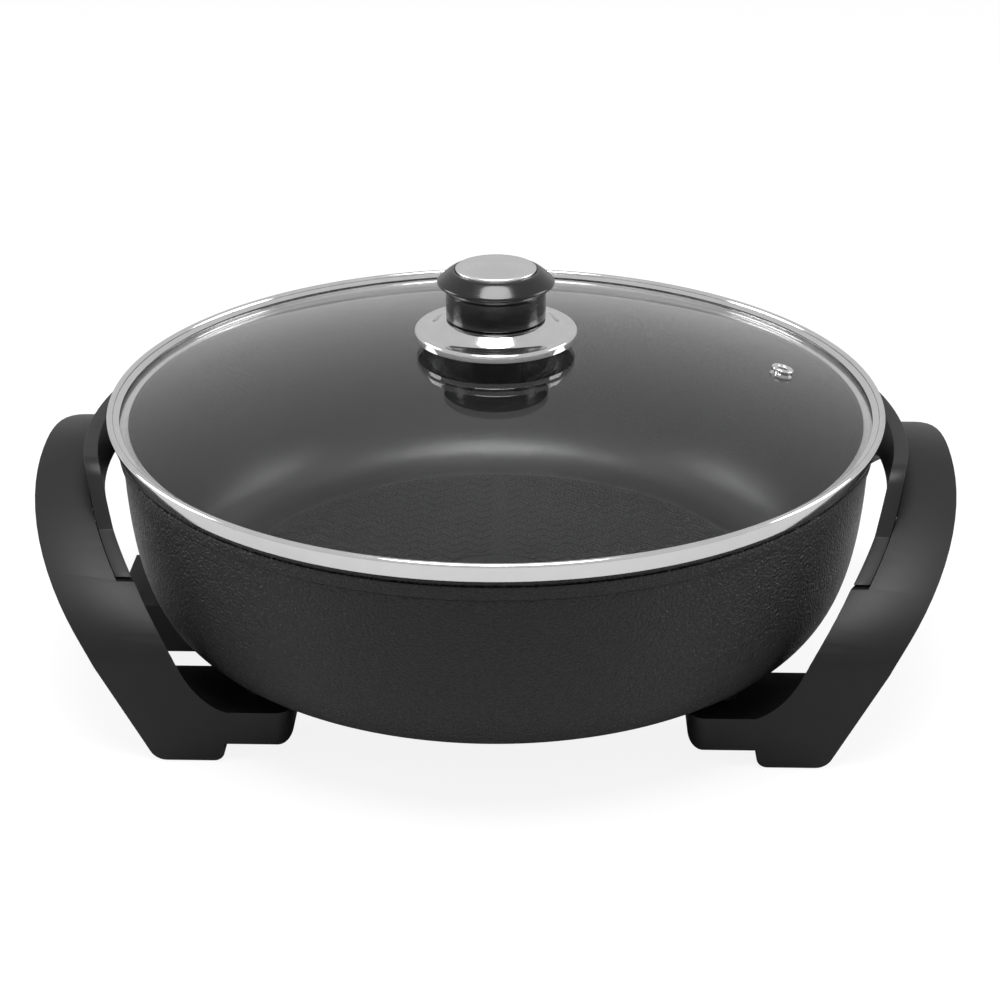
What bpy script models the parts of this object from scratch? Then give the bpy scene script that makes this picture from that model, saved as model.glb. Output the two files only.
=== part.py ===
"""Round electric skillet with a lift-off glass lid, each piece a closed solid of its own.

Metres, +Z up. The origin is on the pan's axis, on the surface that the feet stand on.
The handles lie along X, and the socket for the heat control opens towards -X.
"""
import math

import bmesh
import bpy
from mathutils import Matrix, Vector

# Clearances and facets
fit_gap = 0.0003
cut_overrun = 0.002
pan_clearance = 0.001
round_sides = 48
knob_sides = 32
screw_sides = 12

# Pan
ground_clearance = 0.0202
pan_height = 0.1044
base_thickness = 0.0118
base_slope_width = 0.0231
base_edge_rise = 0.0082
heel_width = 0.0398
wall_thickness = 0.0036
cove_width = 0.0393
rim_outer_radius = 0.1764
rim_ledge = 0.0025
lip_width = 0.0050
rim_flange_height = 0.0013
rim_groove_depth = 0.0011
rim_groove_height = 0.0012
rim_bead_height = 0.0049
rim_step = 0.0016
mouth_depth = 0.0042

# Lid: glass and rim
lid_overhang = 0.0036
lid_rim_height = 0.0090
rim_foot_inset = 0.0024
rim_bead_width = 0.0030
rim_sheet = 0.0010
rim_pocket_inset = 0.0043
rim_crimp = 0.0013
skirt_clearance = 0.0008
skirt_drop = 0.0018
glass_thickness = 0.0040
glass_rise = 0.0280

# Steam vent in the glass
vent_distance = 0.1346
vent_bearing = math.radians(4.0)
vent_flange_radius = 0.0053
vent_tube_radius = 0.0034
vent_bore_radius = 0.0024
vent_flange_height = 0.0013
vent_washer_thickness = 0.0008

# Knob, from the glass up
stud_radius = 0.0024
stud_clearance = 0.0005
glass_hole_radius = 0.0042
gasket_radius = 0.0140
gasket_thickness = 0.0020
spacer_radius = 0.0120
spacer_height = 0.0087
disc_radius = 0.0376
disc_sheet = 0.0010
disc_hub_radius = 0.0236
disc_skirt_drop = 0.0089
collar_radius = 0.0230
collar_height = 0.0134
knob_radius = 0.0270
knob_flare_height = 0.0035
knob_cone_height = 0.0057
cap_radius = 0.0186
cap_seat_depth = 0.0017
cap_edge_height = 0.0019
cap_rise = 0.0025
cap_sheet = 0.0010
insert_radius = 0.0036
insert_length = 0.0145
lower_gasket_radius = 0.0100
lower_gasket_thickness = 0.0015
knob_washer_radius = 0.0090
knob_washer_thickness = 0.0010
knob_screw_head_radius = 0.0060
knob_screw_head_height = 0.0032
knob_screw_reach = 0.0090

# Heating element and what it ends in
element_radius = 0.00375
element_ring_inset = 0.0310
element_end_spacing = 0.0105
element_bend_radius = 0.0120
element_end_inset = 0.0061
element_seat_depth = 0.0042
pin_radius = 0.0020
pin_length = 0.0340
insulator_length = 0.0047
sleeve_radius = 0.0045
sleeve_bore_radius = 0.0034
sleeve_length = 0.0900
sleeve_reach = 0.0130
sleeve_tip = 0.0020

# Socket housing
housing_depth = 0.0430
housing_standoff = 0.0029
housing_tongue = 0.0130
housing_half_width = 0.0245
housing_bottom = 0.0048
housing_top = 0.0360
housing_wall = 0.0025
housing_top_chamfer = 0.0050
housing_bottom_chamfer = 0.0020
housing_screw_inset = 0.0060
housing_screw_spacing = 0.0195
socket_screw_radius = 0.0015
socket_screw_head_radius = 0.0030
socket_screw_head_height = 0.0022
socket_screw_bite = 0.0060
socket_counterbore = 0.0060

# Handles: the arch, its legs, brackets and feet
grip_gap = 0.0086
liner_thickness = 0.0065
liner_draft = 0.0033
grip_depth = 0.0206
grip_drop = 0.0146
grip_overhang = 0.0377
handle_half_length = 0.1134
arch_half_opening = 0.0720
arch_opening_top = 0.0920
opening_side_height = 0.0420
shoulder_fall = 0.0620
waist_height = 0.0500
leg_lean = 0.0253
crook_radius = 0.1628
bracket_reach = 0.0617
bracket_bottom = 0.0093
bracket_thickness = 0.0161
bracket_corner = 0.0060
bracket_tip_corner = 0.0080
foot_length = 0.0311
foot_outer_corner = 0.0080
foot_inner_corner = 0.0050
shell_wall = 0.0030
shell_floor = 0.0036
outer_edge_shares = ((0, 0), (0.118, 0.198), (1, 0.731), (1, 1))
arch_shares = ((0, 0), (0.004, 0.436), (0.634, 1), (1, 1))
opening_shares = ((0, 0), (0, 0.640), (0.361, 1), (1, 1))
crook_shares = ((0, 0), (0.487, 0.087), (1, 0.430), (1, 1))
leg_level_shares = (0, 0.36, 0.7)
outer_wall_shares = ((0, 0), (0.442, 0.071), (0.990, 0.047), (1, 1))
inner_wall_shares = ((0, 0), (0.420, 0), (0.990, 0.075), (1, 1))

# Grip liner
liner_rise = 0.0079
liner_half_length = 0.0500
liner_corner = 0.0120
liner_shoulder = 0.0630
liner_toe_half_length = 0.0830
liner_bottom = 0.0781
liner_opening = 0.0660
liner_arch_half = 0.0360
liner_opening_top = 0.0980
liner_screw_offset = 0.0520
liner_screw_height = 0.0940
liner_screw_radius = 0.0015
liner_screw_head_radius = 0.0030
liner_screw_head_height = 0.0014
liner_counterbore = 0.0020
liner_screw_bite = 0.0090
liner_boss_radius = 0.0036

# Mounting screws, one through each bracket into the pan's boss
boss_inset = 0.0167
boss_radius = 0.0060
boss_bite = 0.0033
mount_screw_radius = 0.0020
mount_head_radius = 0.0038
mount_head_height = 0.0028
mount_washer_radius = 0.0045
mount_washer_thickness = 0.0010
mount_counterbore = 0.0095

# Foot pads
pad_length = 0.0180
pad_width = 0.0280
pad_corner = 0.0040
pad_thickness = 0.0024
pad_projection = 0.0006

# Heights and radii that follow
wall_top_radius = rim_outer_radius - rim_ledge
mouth_radius = rim_outer_radius - lip_width
base_edge_radius = wall_top_radius - heel_width
base_flat_radius = base_edge_radius - base_slope_width
floor_radius = wall_top_radius - cove_width
lid_radius = rim_outer_radius + lid_overhang
lip_height = ground_clearance + pan_height
floor_height = ground_clearance + base_thickness
rim_bottom = lip_height + fit_gap
lid_top_height = rim_bottom + lid_rim_height
pocket_radius = lid_radius - rim_pocket_inset
glass_radius = pocket_radius - fit_gap
glass_edge_bottom = rim_bottom + rim_sheet + fit_gap
glass_edge_top = glass_edge_bottom + glass_thickness
glass_sphere_radius = (glass_radius ** 2 + glass_rise ** 2) / (2 * glass_rise)
glass_crown = glass_edge_top + glass_rise
skirt_radius = mouth_radius - skirt_clearance
bracket_top = bracket_bottom + bracket_thickness
liner_inner_radius = rim_outer_radius + grip_gap
liner_outer_radius = liner_inner_radius + liner_thickness
grip_outer = liner_outer_radius + fit_gap + grip_depth
grip_top = lip_height - grip_drop
liner_top = grip_top + liner_rise
waist = grip_outer - grip_overhang
foot_outer = waist - leg_lean
bracket_tip = foot_outer - bracket_reach
boss_x = bracket_tip + boss_inset
boss_y = (arch_half_opening + handle_half_length) / 2
housing_root = base_flat_radius - housing_tongue
housing_back = base_edge_radius + housing_standoff
housing_mouth = housing_back + housing_depth
housing_screw_distance = housing_root + housing_screw_inset
element_ring_radius = base_flat_radius - element_ring_inset
element_end_distance = base_edge_radius - element_end_inset
sleeve_end = housing_back + sleeve_reach
sleeve_start = sleeve_end - sleeve_length
element_height = ground_clearance + element_seat_depth

# The two ends of whatever comes in pairs along Y
ends = ((1, "rear"), (-1, "front"))

black_coating = (0.012, 0.012, 0.013)
black_plastic = (0.020, 0.020, 0.021)
bright_steel = (0.80, 0.80, 0.80)
plain_steel = (0.55, 0.55, 0.56)
brass_colour = (0.70, 0.52, 0.25)
ceramic_colour = (0.85, 0.83, 0.78)
rubber_colour = (0.015, 0.015, 0.015)
glass_colour = (0.90, 0.95, 0.94)


def clear_scene():
    for thing in list(bpy.data.objects):
        bpy.data.objects.remove(thing)


def material(name, colour, roughness, metallic=0.0, transmission=0.0):
    made = bpy.data.materials.new(name)
    made.use_nodes = True
    shader = made.node_tree.nodes["Principled BSDF"]
    shader.inputs["Base Color"].default_value = (*colour, 1.0)
    shader.inputs["Roughness"].default_value = roughness
    shader.inputs["Metallic"].default_value = metallic
    shader.inputs["Transmission Weight"].default_value = transmission
    return made


def mesh_object(name, bm, finish):
    """Turn a closed bmesh into a named object with outward faces and its own material."""
    bmesh.ops.remove_doubles(bm, verts=bm.verts, dist=fit_gap / 100)
    bmesh.ops.recalc_face_normals(bm, faces=bm.faces)
    mesh = bpy.data.meshes.new(name)
    bm.to_mesh(mesh)
    bm.free()
    mesh.shade_smooth()
    mesh.set_sharp_from_angle(angle=math.radians(30))
    made = bpy.data.objects.new(name, mesh)
    bpy.context.scene.collection.objects.link(made)
    if finish:
        mesh.materials.append(material(name + "_finish", *finish))
    return made


def turned(name, outline, finish, sides=round_sides):
    """Revolve a closed outline of (radius, height) points about Z."""
    bm = bmesh.new()
    on_axis = fit_gap / 10
    rings = []
    for radius, height in outline:
        if radius < on_axis:
            rings.append([bm.verts.new((0, 0, height))])
            continue
        ring = []
        for step in range(sides):
            angle = math.tau * step / sides
            ring.append(bm.verts.new((radius * math.cos(angle), radius * math.sin(angle), height)))
        rings.append(ring)
    for here, there in zip(rings, rings[1:] + rings[:1]):
        if len(here) == 1 and len(there) == 1:
            continue
        for step in range(sides):
            after = (step + 1) % sides
            if len(here) == 1:
                bm.faces.new((here[0], there[step], there[after]))
            elif len(there) == 1:
                bm.faces.new((here[step], there[0], here[after]))
            else:
                bm.faces.new((here[step], there[step], there[after], here[after]))
    return mesh_object(name, bm, finish)


def prism(name, outline, axis, low, high, finish=None):
    """Extrude a closed outline along axis; its two numbers are the other two axes in order."""
    along = "XYZ".index(axis)
    bm = bmesh.new()
    verts = []
    for first, second in outline:
        place = [first, second]
        place.insert(along, low)
        verts.append(bm.verts.new(place))
    face = bm.faces.new(verts)
    swept = bmesh.ops.extrude_face_region(bm, geom=[face])
    shift = Vector((0, 0, 0))
    shift[along] = high - low
    moved = [item for item in swept["geom"] if isinstance(item, bmesh.types.BMVert)]
    bmesh.ops.translate(bm, vec=shift, verts=moved)
    return mesh_object(name, bm, finish)


def rods(name, places, radius, axis, finish=None, sides=screw_sides):
    """Cylinders along one axis; each place is (first, second, low, high)."""
    bm = bmesh.new()
    turn = {"X": Matrix.Rotation(math.radians(90), 4, "Y"), "Y": Matrix.Rotation(math.radians(-90), 4, "X"),
            "Z": Matrix.Identity(4)}[axis]
    along = "XYZ".index(axis)
    for first, second, low, high in places:
        centre = [first, second]
        centre.insert(along, (low + high) / 2)
        bmesh.ops.create_cone(bm, cap_ends=True, segments=sides, radius1=radius, radius2=radius,
                              depth=high - low, matrix=Matrix.Translation(centre) @ turn)
    return mesh_object(name, bm, finish)


def combine(target, operation, other):
    """Add a live Boolean; the other object becomes a hidden cutter."""
    step = target.modifiers.new(other.name, "BOOLEAN")
    step.operation = operation
    step.object = other
    other.hide_render = True
    other.display_type = "WIRE"
    return target


def cut(target, *cutters):
    for cutter in cutters:
        combine(target, "DIFFERENCE", cutter)
    return target


def bezier(points, steps):
    """Points of a cubic curve, both ends included."""
    curve = []
    for step in range(steps + 1):
        t = step / steps
        weights = ((1 - t) ** 3, 3 * (1 - t) ** 2 * t, 3 * (1 - t) * t ** 2, t ** 3)
        curve.append(tuple(sum(w * p[k] for w, p in zip(weights, points)) for k in (0, 1)))
    return curve


def spread(shares, start, end):
    """Place control points given as shares of the way from start to end."""
    return [tuple(start[k] + share[k] * (end[k] - start[k]) for k in (0, 1)) for share in shares]


def arc(centre, across, up, start, end, steps):
    """Points on an ellipse with the given half axes, from one angle in degrees to another."""
    points = []
    for step in range(steps + 1):
        angle = math.radians(start + (end - start) * step / steps)
        points.append((centre[0] + across * math.cos(angle), centre[1] + up * math.sin(angle)))
    return points


def rounded(corners, steps=4):
    """Round the corners of a closed outline; each corner is (first, second, radius)."""
    points = []
    count = len(corners)
    for index, (first, second, radius) in enumerate(corners):
        corner = Vector((first, second))
        if radius == 0:
            points.append((first, second))
            continue
        before = (Vector(corners[index - 1][:2]) - corner).normalized()
        after = (Vector(corners[(index + 1) % count][:2]) - corner).normalized()
        half = before.angle(after) / 2
        reach = radius / math.tan(half)
        centre = corner + (before + after).normalized() * (radius / math.sin(half))
        start = corner + before * reach - centre
        turn = start.angle_signed(corner + after * reach - centre)
        for step in range(steps + 1):
            spot = centre + start @ Matrix.Rotation(turn * step / steps, 2)
            points.append((spot.x, spot.y))
    return points


def mirrored(outline):
    """The same outline on the other side of its first axis."""
    return [(-first, second) for first, second in reversed(outline)]


def pan_outside(offset=0.0):
    """Outer line of the pan from the base's centre up to the coated wall's top."""
    low = ground_clearance - offset
    wall_top = lip_height - rim_flange_height - 2 * rim_groove_height - rim_bead_height - rim_step
    edge = (base_edge_radius + offset, low + base_edge_rise)
    top = (wall_top_radius + offset, wall_top)
    return [(0, low), (base_flat_radius + offset, low)] + bezier(spread(outer_wall_shares, edge, top), 8)


def pan_inside():
    """Inner line of the pan from the floor's centre up past the lip."""
    top = (wall_top_radius - wall_thickness, lip_height - 2 * mouth_depth)
    edge = (floor_radius, floor_height)
    mouth_low = lip_height - mouth_depth
    above = lip_height + cut_overrun
    return ([(0, floor_height)] + bezier(spread(inner_wall_shares, edge, top), 6)
            + [(mouth_radius, mouth_low), (mouth_radius, above), (0, above)])


def pan_rim_outline():
    """The rim's flange, groove and bead, from the top down to the coated wall."""
    groove_radius = rim_outer_radius - rim_groove_depth
    flange_low = lip_height - rim_flange_height
    groove_top = flange_low - rim_groove_height / 2
    groove_low = groove_top - rim_groove_height
    bead_top = groove_low - rim_groove_height / 2
    bead_low = bead_top - rim_bead_height
    return [(rim_outer_radius, lip_height), (rim_outer_radius, flange_low), (groove_radius, groove_top),
            (groove_radius, groove_low), (rim_outer_radius, bead_top),
            (rim_outer_radius - rim_groove_depth, bead_low)]


def element_path(end_distance, ring_steps=30, bend_steps=5):
    """Centre line of the element in plan: a ring whose two ends bend out to end_distance at -X."""
    bend_centre_y = element_end_spacing + element_bend_radius
    centre_distance = element_ring_radius + element_bend_radius
    bend_centre_x = -math.sqrt(centre_distance ** 2 - bend_centre_y ** 2)
    meeting = math.degrees(math.atan2(bend_centre_y, -bend_centre_x))
    half = [(-end_distance, element_end_spacing)]
    half += arc((bend_centre_x, bend_centre_y), element_bend_radius, element_bend_radius,
                -90, -meeting, bend_steps)
    ring = arc((0, 0), element_ring_radius, element_ring_radius, 180 - meeting, meeting - 180, ring_steps)
    return half + ring[1:-1] + [(x, -y) for x, y in reversed(half)]


def side_lines(path, half_width):
    """The two lines that run beside a path, half_width away."""
    left, right = [], []
    for index, point in enumerate(path):
        before = Vector(path[max(index - 1, 0)])
        after = Vector(path[min(index + 1, len(path) - 1)])
        way = (after - before).normalized()
        aside = Vector((-way.y, way.x)) * half_width
        left.append(tuple(Vector(point) + aside))
        right.append(tuple(Vector(point) - aside))
    return left, right


def make_pan():
    wall = pan_outside()
    outline = wall + list(reversed(pan_rim_outline())) + [(0, lip_height)]
    pan = turned("pan_body", outline, (black_coating, 0.4))
    boss_low = bracket_top + fit_gap
    bosses = rods("pan_bosses", [(x, y, boss_low, boss_low + base_thickness) for x, y in boss_places()],
                  boss_radius, "Z", sides=16)
    combine(pan, "UNION", bosses)
    hollow = turned("pan_hollow", pan_inside(), None)
    left, right = side_lines(element_path(sleeve_end), element_radius + fit_gap)
    groove_top = element_height + element_radius + fit_gap
    groove_low = ground_clearance - cut_overrun
    groove = prism("element_groove", left + list(reversed(right)), "Z", groove_low, groove_top)
    slot_half = sleeve_radius + fit_gap
    slot_top = element_height + slot_half
    slot = prism("sleeve_slot", [(-sleeve_end, -slot_half), (fit_gap - sleeve_start, -slot_half),
                                 (fit_gap - sleeve_start, slot_half), (-sleeve_end, slot_half)],
                 "Z", groove_low, slot_top)
    boss_holes = rods("boss_holes", [(x, y, boss_low - cut_overrun, boss_low + boss_bite)
                                     for x, y in boss_places()], mount_screw_radius + fit_gap, "Z")
    socket_holes = rods("socket_holes",
                        [(-housing_screw_distance, y, groove_low, ground_clearance + socket_screw_bite + fit_gap)
                         for y in (housing_screw_spacing, -housing_screw_spacing)],
                        socket_screw_radius + fit_gap, "Z")
    cut(pan, hollow, groove, slot, boss_holes, socket_holes)


def boss_places(sides=(1, -1)):
    return [(side * boss_x, end * boss_y) for side in sides for end, word in ends]


def make_element():
    """Sheathed tube on the groove's centre line, pins and insulators at its two ends."""
    curve = bpy.data.curves.new("heating_element", "CURVE")
    curve.dimensions = "3D"
    path = element_path(element_end_distance)
    line = curve.splines.new("POLY")
    line.points.add(len(path) - 1)
    for point, (x, y) in zip(line.points, path):
        point.co = (x, y, element_height, 1)
    curve.bevel_depth = element_radius
    curve.bevel_resolution = 2
    curve.use_fill_caps = True
    curve.materials.append(material("heating_element_finish", plain_steel, 0.4, 1.0))
    tube = bpy.data.objects.new("heating_element", curve)
    bpy.context.scene.collection.objects.link(tube)

    start = -element_end_distance - fit_gap
    for end, word in ends:
        y = end * element_end_spacing
        rods(word + "_terminal_pin", [(y, element_height, start - pin_length, start)],
             pin_radius, "X", (plain_steel, 0.3, 1.0))
        ring = rods(word + "_terminal_insulator", [(y, element_height, start - insulator_length, start)],
                    element_radius, "X", (ceramic_colour, 0.5))
        bore = rods(word + "_insulator_bore",
                    [(y, element_height, start - insulator_length - cut_overrun, start + cut_overrun)],
                    pin_radius + fit_gap, "X")
        cut(ring, bore)


def make_sleeve():
    """Closed tube that takes the control's sensing probe."""
    sleeve = rods("probe_sleeve", [(0, element_height, -sleeve_end, -sleeve_start)], sleeve_radius, "X",
                  (bright_steel, 0.35, 1.0), sides=16)
    bore = rods("sleeve_bore", [(0, element_height, -sleeve_end - cut_overrun, -sleeve_start - sleeve_tip)],
                sleeve_bore_radius, "X", sides=16)
    cut(sleeve, bore)


def pan_envelope(name, clearance):
    """Solid a little larger than the pan's outside, used to trim what lies under it."""
    line = pan_outside(clearance)
    above = lip_height + cut_overrun
    return turned(name, line + [(line[-1][0], above), (0, above)], None)


def make_housing():
    """Box open towards -X, with a tongue that is screwed under the pan's base."""
    half = housing_half_width
    top, low = housing_top_chamfer, housing_bottom_chamfer
    body_outline = [(low - half, housing_bottom), (half - low, housing_bottom), (half, housing_bottom + low),
                    (half, housing_top - top), (half - top, housing_top), (top - half, housing_top),
                    (-half, housing_top - top), (-half, housing_bottom + low)]
    housing = prism("socket_housing", body_outline, "X", -housing_mouth, -housing_root, (black_plastic, 0.45))
    inner = half - housing_wall
    inner_top = housing_top - housing_wall
    inner_low = housing_bottom + housing_wall
    slope = top - housing_wall / 2
    cavity_outline = [(-inner, inner_low), (inner, inner_low), (inner, inner_top - slope),
                      (inner - slope, inner_top), (slope - inner, inner_top), (-inner, inner_top - slope)]
    cavity = prism("housing_cavity", cavity_outline, "X", -housing_mouth - cut_overrun, -housing_back)
    passages = rods("element_passages",
                    [(y, element_height, -housing_back - cut_overrun, -housing_root + cut_overrun)
                     for y in (element_end_spacing, -element_end_spacing)],
                    element_radius + fit_gap, "X", sides=8)
    sleeve_passage = rods("sleeve_passage",
                          [(0, element_height, -housing_back - cut_overrun, -housing_root + cut_overrun)],
                          sleeve_radius + fit_gap, "X", sides=16)
    screw_spots = [(-housing_screw_distance, end * housing_screw_spacing) for end, word in ends]
    holes = rods("housing_screw_holes",
                 [(x, y, housing_bottom - cut_overrun, ground_clearance + cut_overrun) for x, y in screw_spots],
                 socket_screw_radius + fit_gap, "Z")
    sinks = rods("housing_counterbores",
                 [(x, y, housing_bottom - cut_overrun, housing_bottom + socket_counterbore)
                  for x, y in screw_spots],
                 socket_screw_head_radius + fit_gap, "Z")
    cut(housing, pan_envelope("housing_trim", fit_gap), cavity, passages, sleeve_passage, sinks, holes)
    seat = housing_bottom + socket_counterbore - fit_gap
    for (x, y), (end, word) in zip(screw_spots, ends):
        screw(word + "_socket_screw", Matrix.Translation((x, y, seat)), socket_screw_head_radius,
              socket_screw_head_height, socket_screw_radius, ground_clearance + socket_screw_bite - seat)


def screw(name, place, head_radius, head_height, shank_radius, shank_length):
    """A screw whose head hangs below its own origin and whose shank points along its own +Z."""
    rim_share, chamfer_share = 0.8, 0.6
    made = turned(name, [(0, -head_height), (head_radius * rim_share, -head_height),
                         (head_radius, -head_height * chamfer_share), (head_radius, 0), (shank_radius, 0),
                         (shank_radius, shank_length), (0, shank_length)],
                  (plain_steel, 0.35, 1.0), screw_sides)
    made.matrix_world = place
    return made


def outer_edge(steps=6):
    """The leg's outer edge in X and Z: rounded foot, straight leg, then the grip's bulge."""
    foot = rounded([(foot_outer - foot_length, pad_projection, 0), (foot_outer, pad_projection, foot_outer_corner),
                    (waist, waist_height, 0)], 3)
    grip = bezier(spread(outer_edge_shares, (waist, waist_height), (grip_outer, grip_top)), steps)
    return foot[1:-1] + grip


def edge_distance(height, shift):
    """Distance of the outer edge from the axis at a height, moved in by shift."""
    edge = outer_edge()
    for (x, z), (next_x, next_z) in zip(edge, edge[1:]):
        if height <= next_z:
            break
    share = max(0, min(1, (height - z) / (next_z - z)))
    return x + (next_x - x) * share - shift


def handle_front_outline():
    """Bracket, foot and the room for the leg seen from the front, for the handle at +X."""
    foot_inner = foot_outer - foot_length
    far = grip_outer + cut_overrun
    above = grip_top + cut_overrun
    return rounded([(foot_inner, pad_projection, foot_inner_corner), (far, pad_projection, 0), (far, above, 0),
                    (bracket_tip, above, 0), (bracket_tip, bracket_bottom, bracket_corner),
                    (foot_inner, bracket_bottom, 0)], 3)


def arch_line(inset=0.0, steps=8):
    """The arch's outer line in Y and Z, from the shoulder to the crown, moved into the wall by inset."""
    start = (handle_half_length, grip_top - shoulder_fall)
    return [(y - inset, z - inset) for y, z in bezier(spread(arch_shares, start, (0, grip_top)), steps)]


def opening_line(inset=0.0, steps=8):
    """The opening under the arch in Y and Z, from the leg to the middle, grown by inset."""
    start = (arch_half_opening, opening_side_height)
    return [(y + inset, z + inset) for y, z in bezier(spread(opening_shares, start, (0, arch_opening_top)), steps)]


def handle_half(inset, low):
    """Cross-sections of the handle from the foot up to the crown, each a list of (X, Y, Z)."""
    outer = arch_line(inset)
    front = handle_half_length - inset
    side = arch_half_opening + inset
    levels = [z for x, z in outer_edge()[:4]] if inset == 0 else [low]
    levels += [levels[-1] + (grip_top - shoulder_fall - levels[-1]) * share for share in leg_level_shares[1:]]
    lines = [((front, z), (side, z)) for z in levels] + list(zip(outer, opening_line(inset)))
    shift = inset * math.sqrt(2)
    near = bracket_tip - cut_overrun * 2
    sections = []
    for outside, under in lines:
        section = [(near, *outside)]
        for share in (0, 1 / 3, 2 / 3, 1):
            y, z = (outside[k] + (under[k] - outside[k]) * share for k in (0, 1))
            section.append((edge_distance(z, shift), y, z))
        section.append((near, *under))
        sections.append(section)
    sections[-1] = [(x, 0, z) for x, y, z in sections[-1]]
    return sections


def handle_form(name, side, inset, low, finish=None):
    """The arch and its two legs as one solid that is open towards the pan, or its hollow."""
    half = handle_half(inset, low)
    sections = half + [[(x, -y, z) for x, y, z in section] for section in reversed(half[:-1])]
    bm = bmesh.new()
    rows = [[bm.verts.new((side * x, y, z)) for x, y, z in section] for section in sections]
    count = len(rows[0])
    for here, there in zip(rows, rows[1:]):
        for index in range(count):
            after = (index + 1) % count
            bm.faces.new((here[index], here[after], there[after], there[index]))
    bm.faces.new(rows[0])
    bm.faces.new(rows[-1])
    return mesh_object(name, bm, finish)


def liner_lean(height):
    """How far the liner's two faces lean towards the pan at a height."""
    return liner_draft * (liner_top - height) / (liner_top - liner_bottom)


def inner_form(name):
    """Round solid that shapes the handle towards the pan: crook, leg and the liner's seat."""
    seat_radius = liner_outer_radius + fit_gap
    above = grip_top + cut_overrun * 2
    crook_end = (liner_inner_radius - liner_draft, liner_bottom)
    crook = bezier(spread(crook_shares, (crook_radius, bracket_top), crook_end), 6)
    return turned(name, [(0, bracket_top)] + crook
                  + [(seat_radius - liner_draft, liner_bottom), (seat_radius - liner_lean(above), above),
                     (0, above)], None)


def liner_side_outline():
    """The liner seen from the side: raised middle, ends flush with the arch, an arch below."""
    low = liner_bottom + fit_gap
    flush = [(y, z, 0) for y, z in arch_line(fit_gap, 16) if liner_shoulder < y and z > low]
    half = ([(liner_toe_half_length, low, 0)] + flush
            + [(liner_half_length, liner_top, liner_corner)])
    under = [(liner_arch_half, liner_opening_top, liner_corner), (liner_opening, low, 0)]
    far_side = [(-y, z, radius) for y, z, radius in reversed(half)]
    far_under = [(-y, z, radius) for y, z, radius in reversed(under)]
    return rounded(half + far_side + far_under + under, 4)


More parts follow.
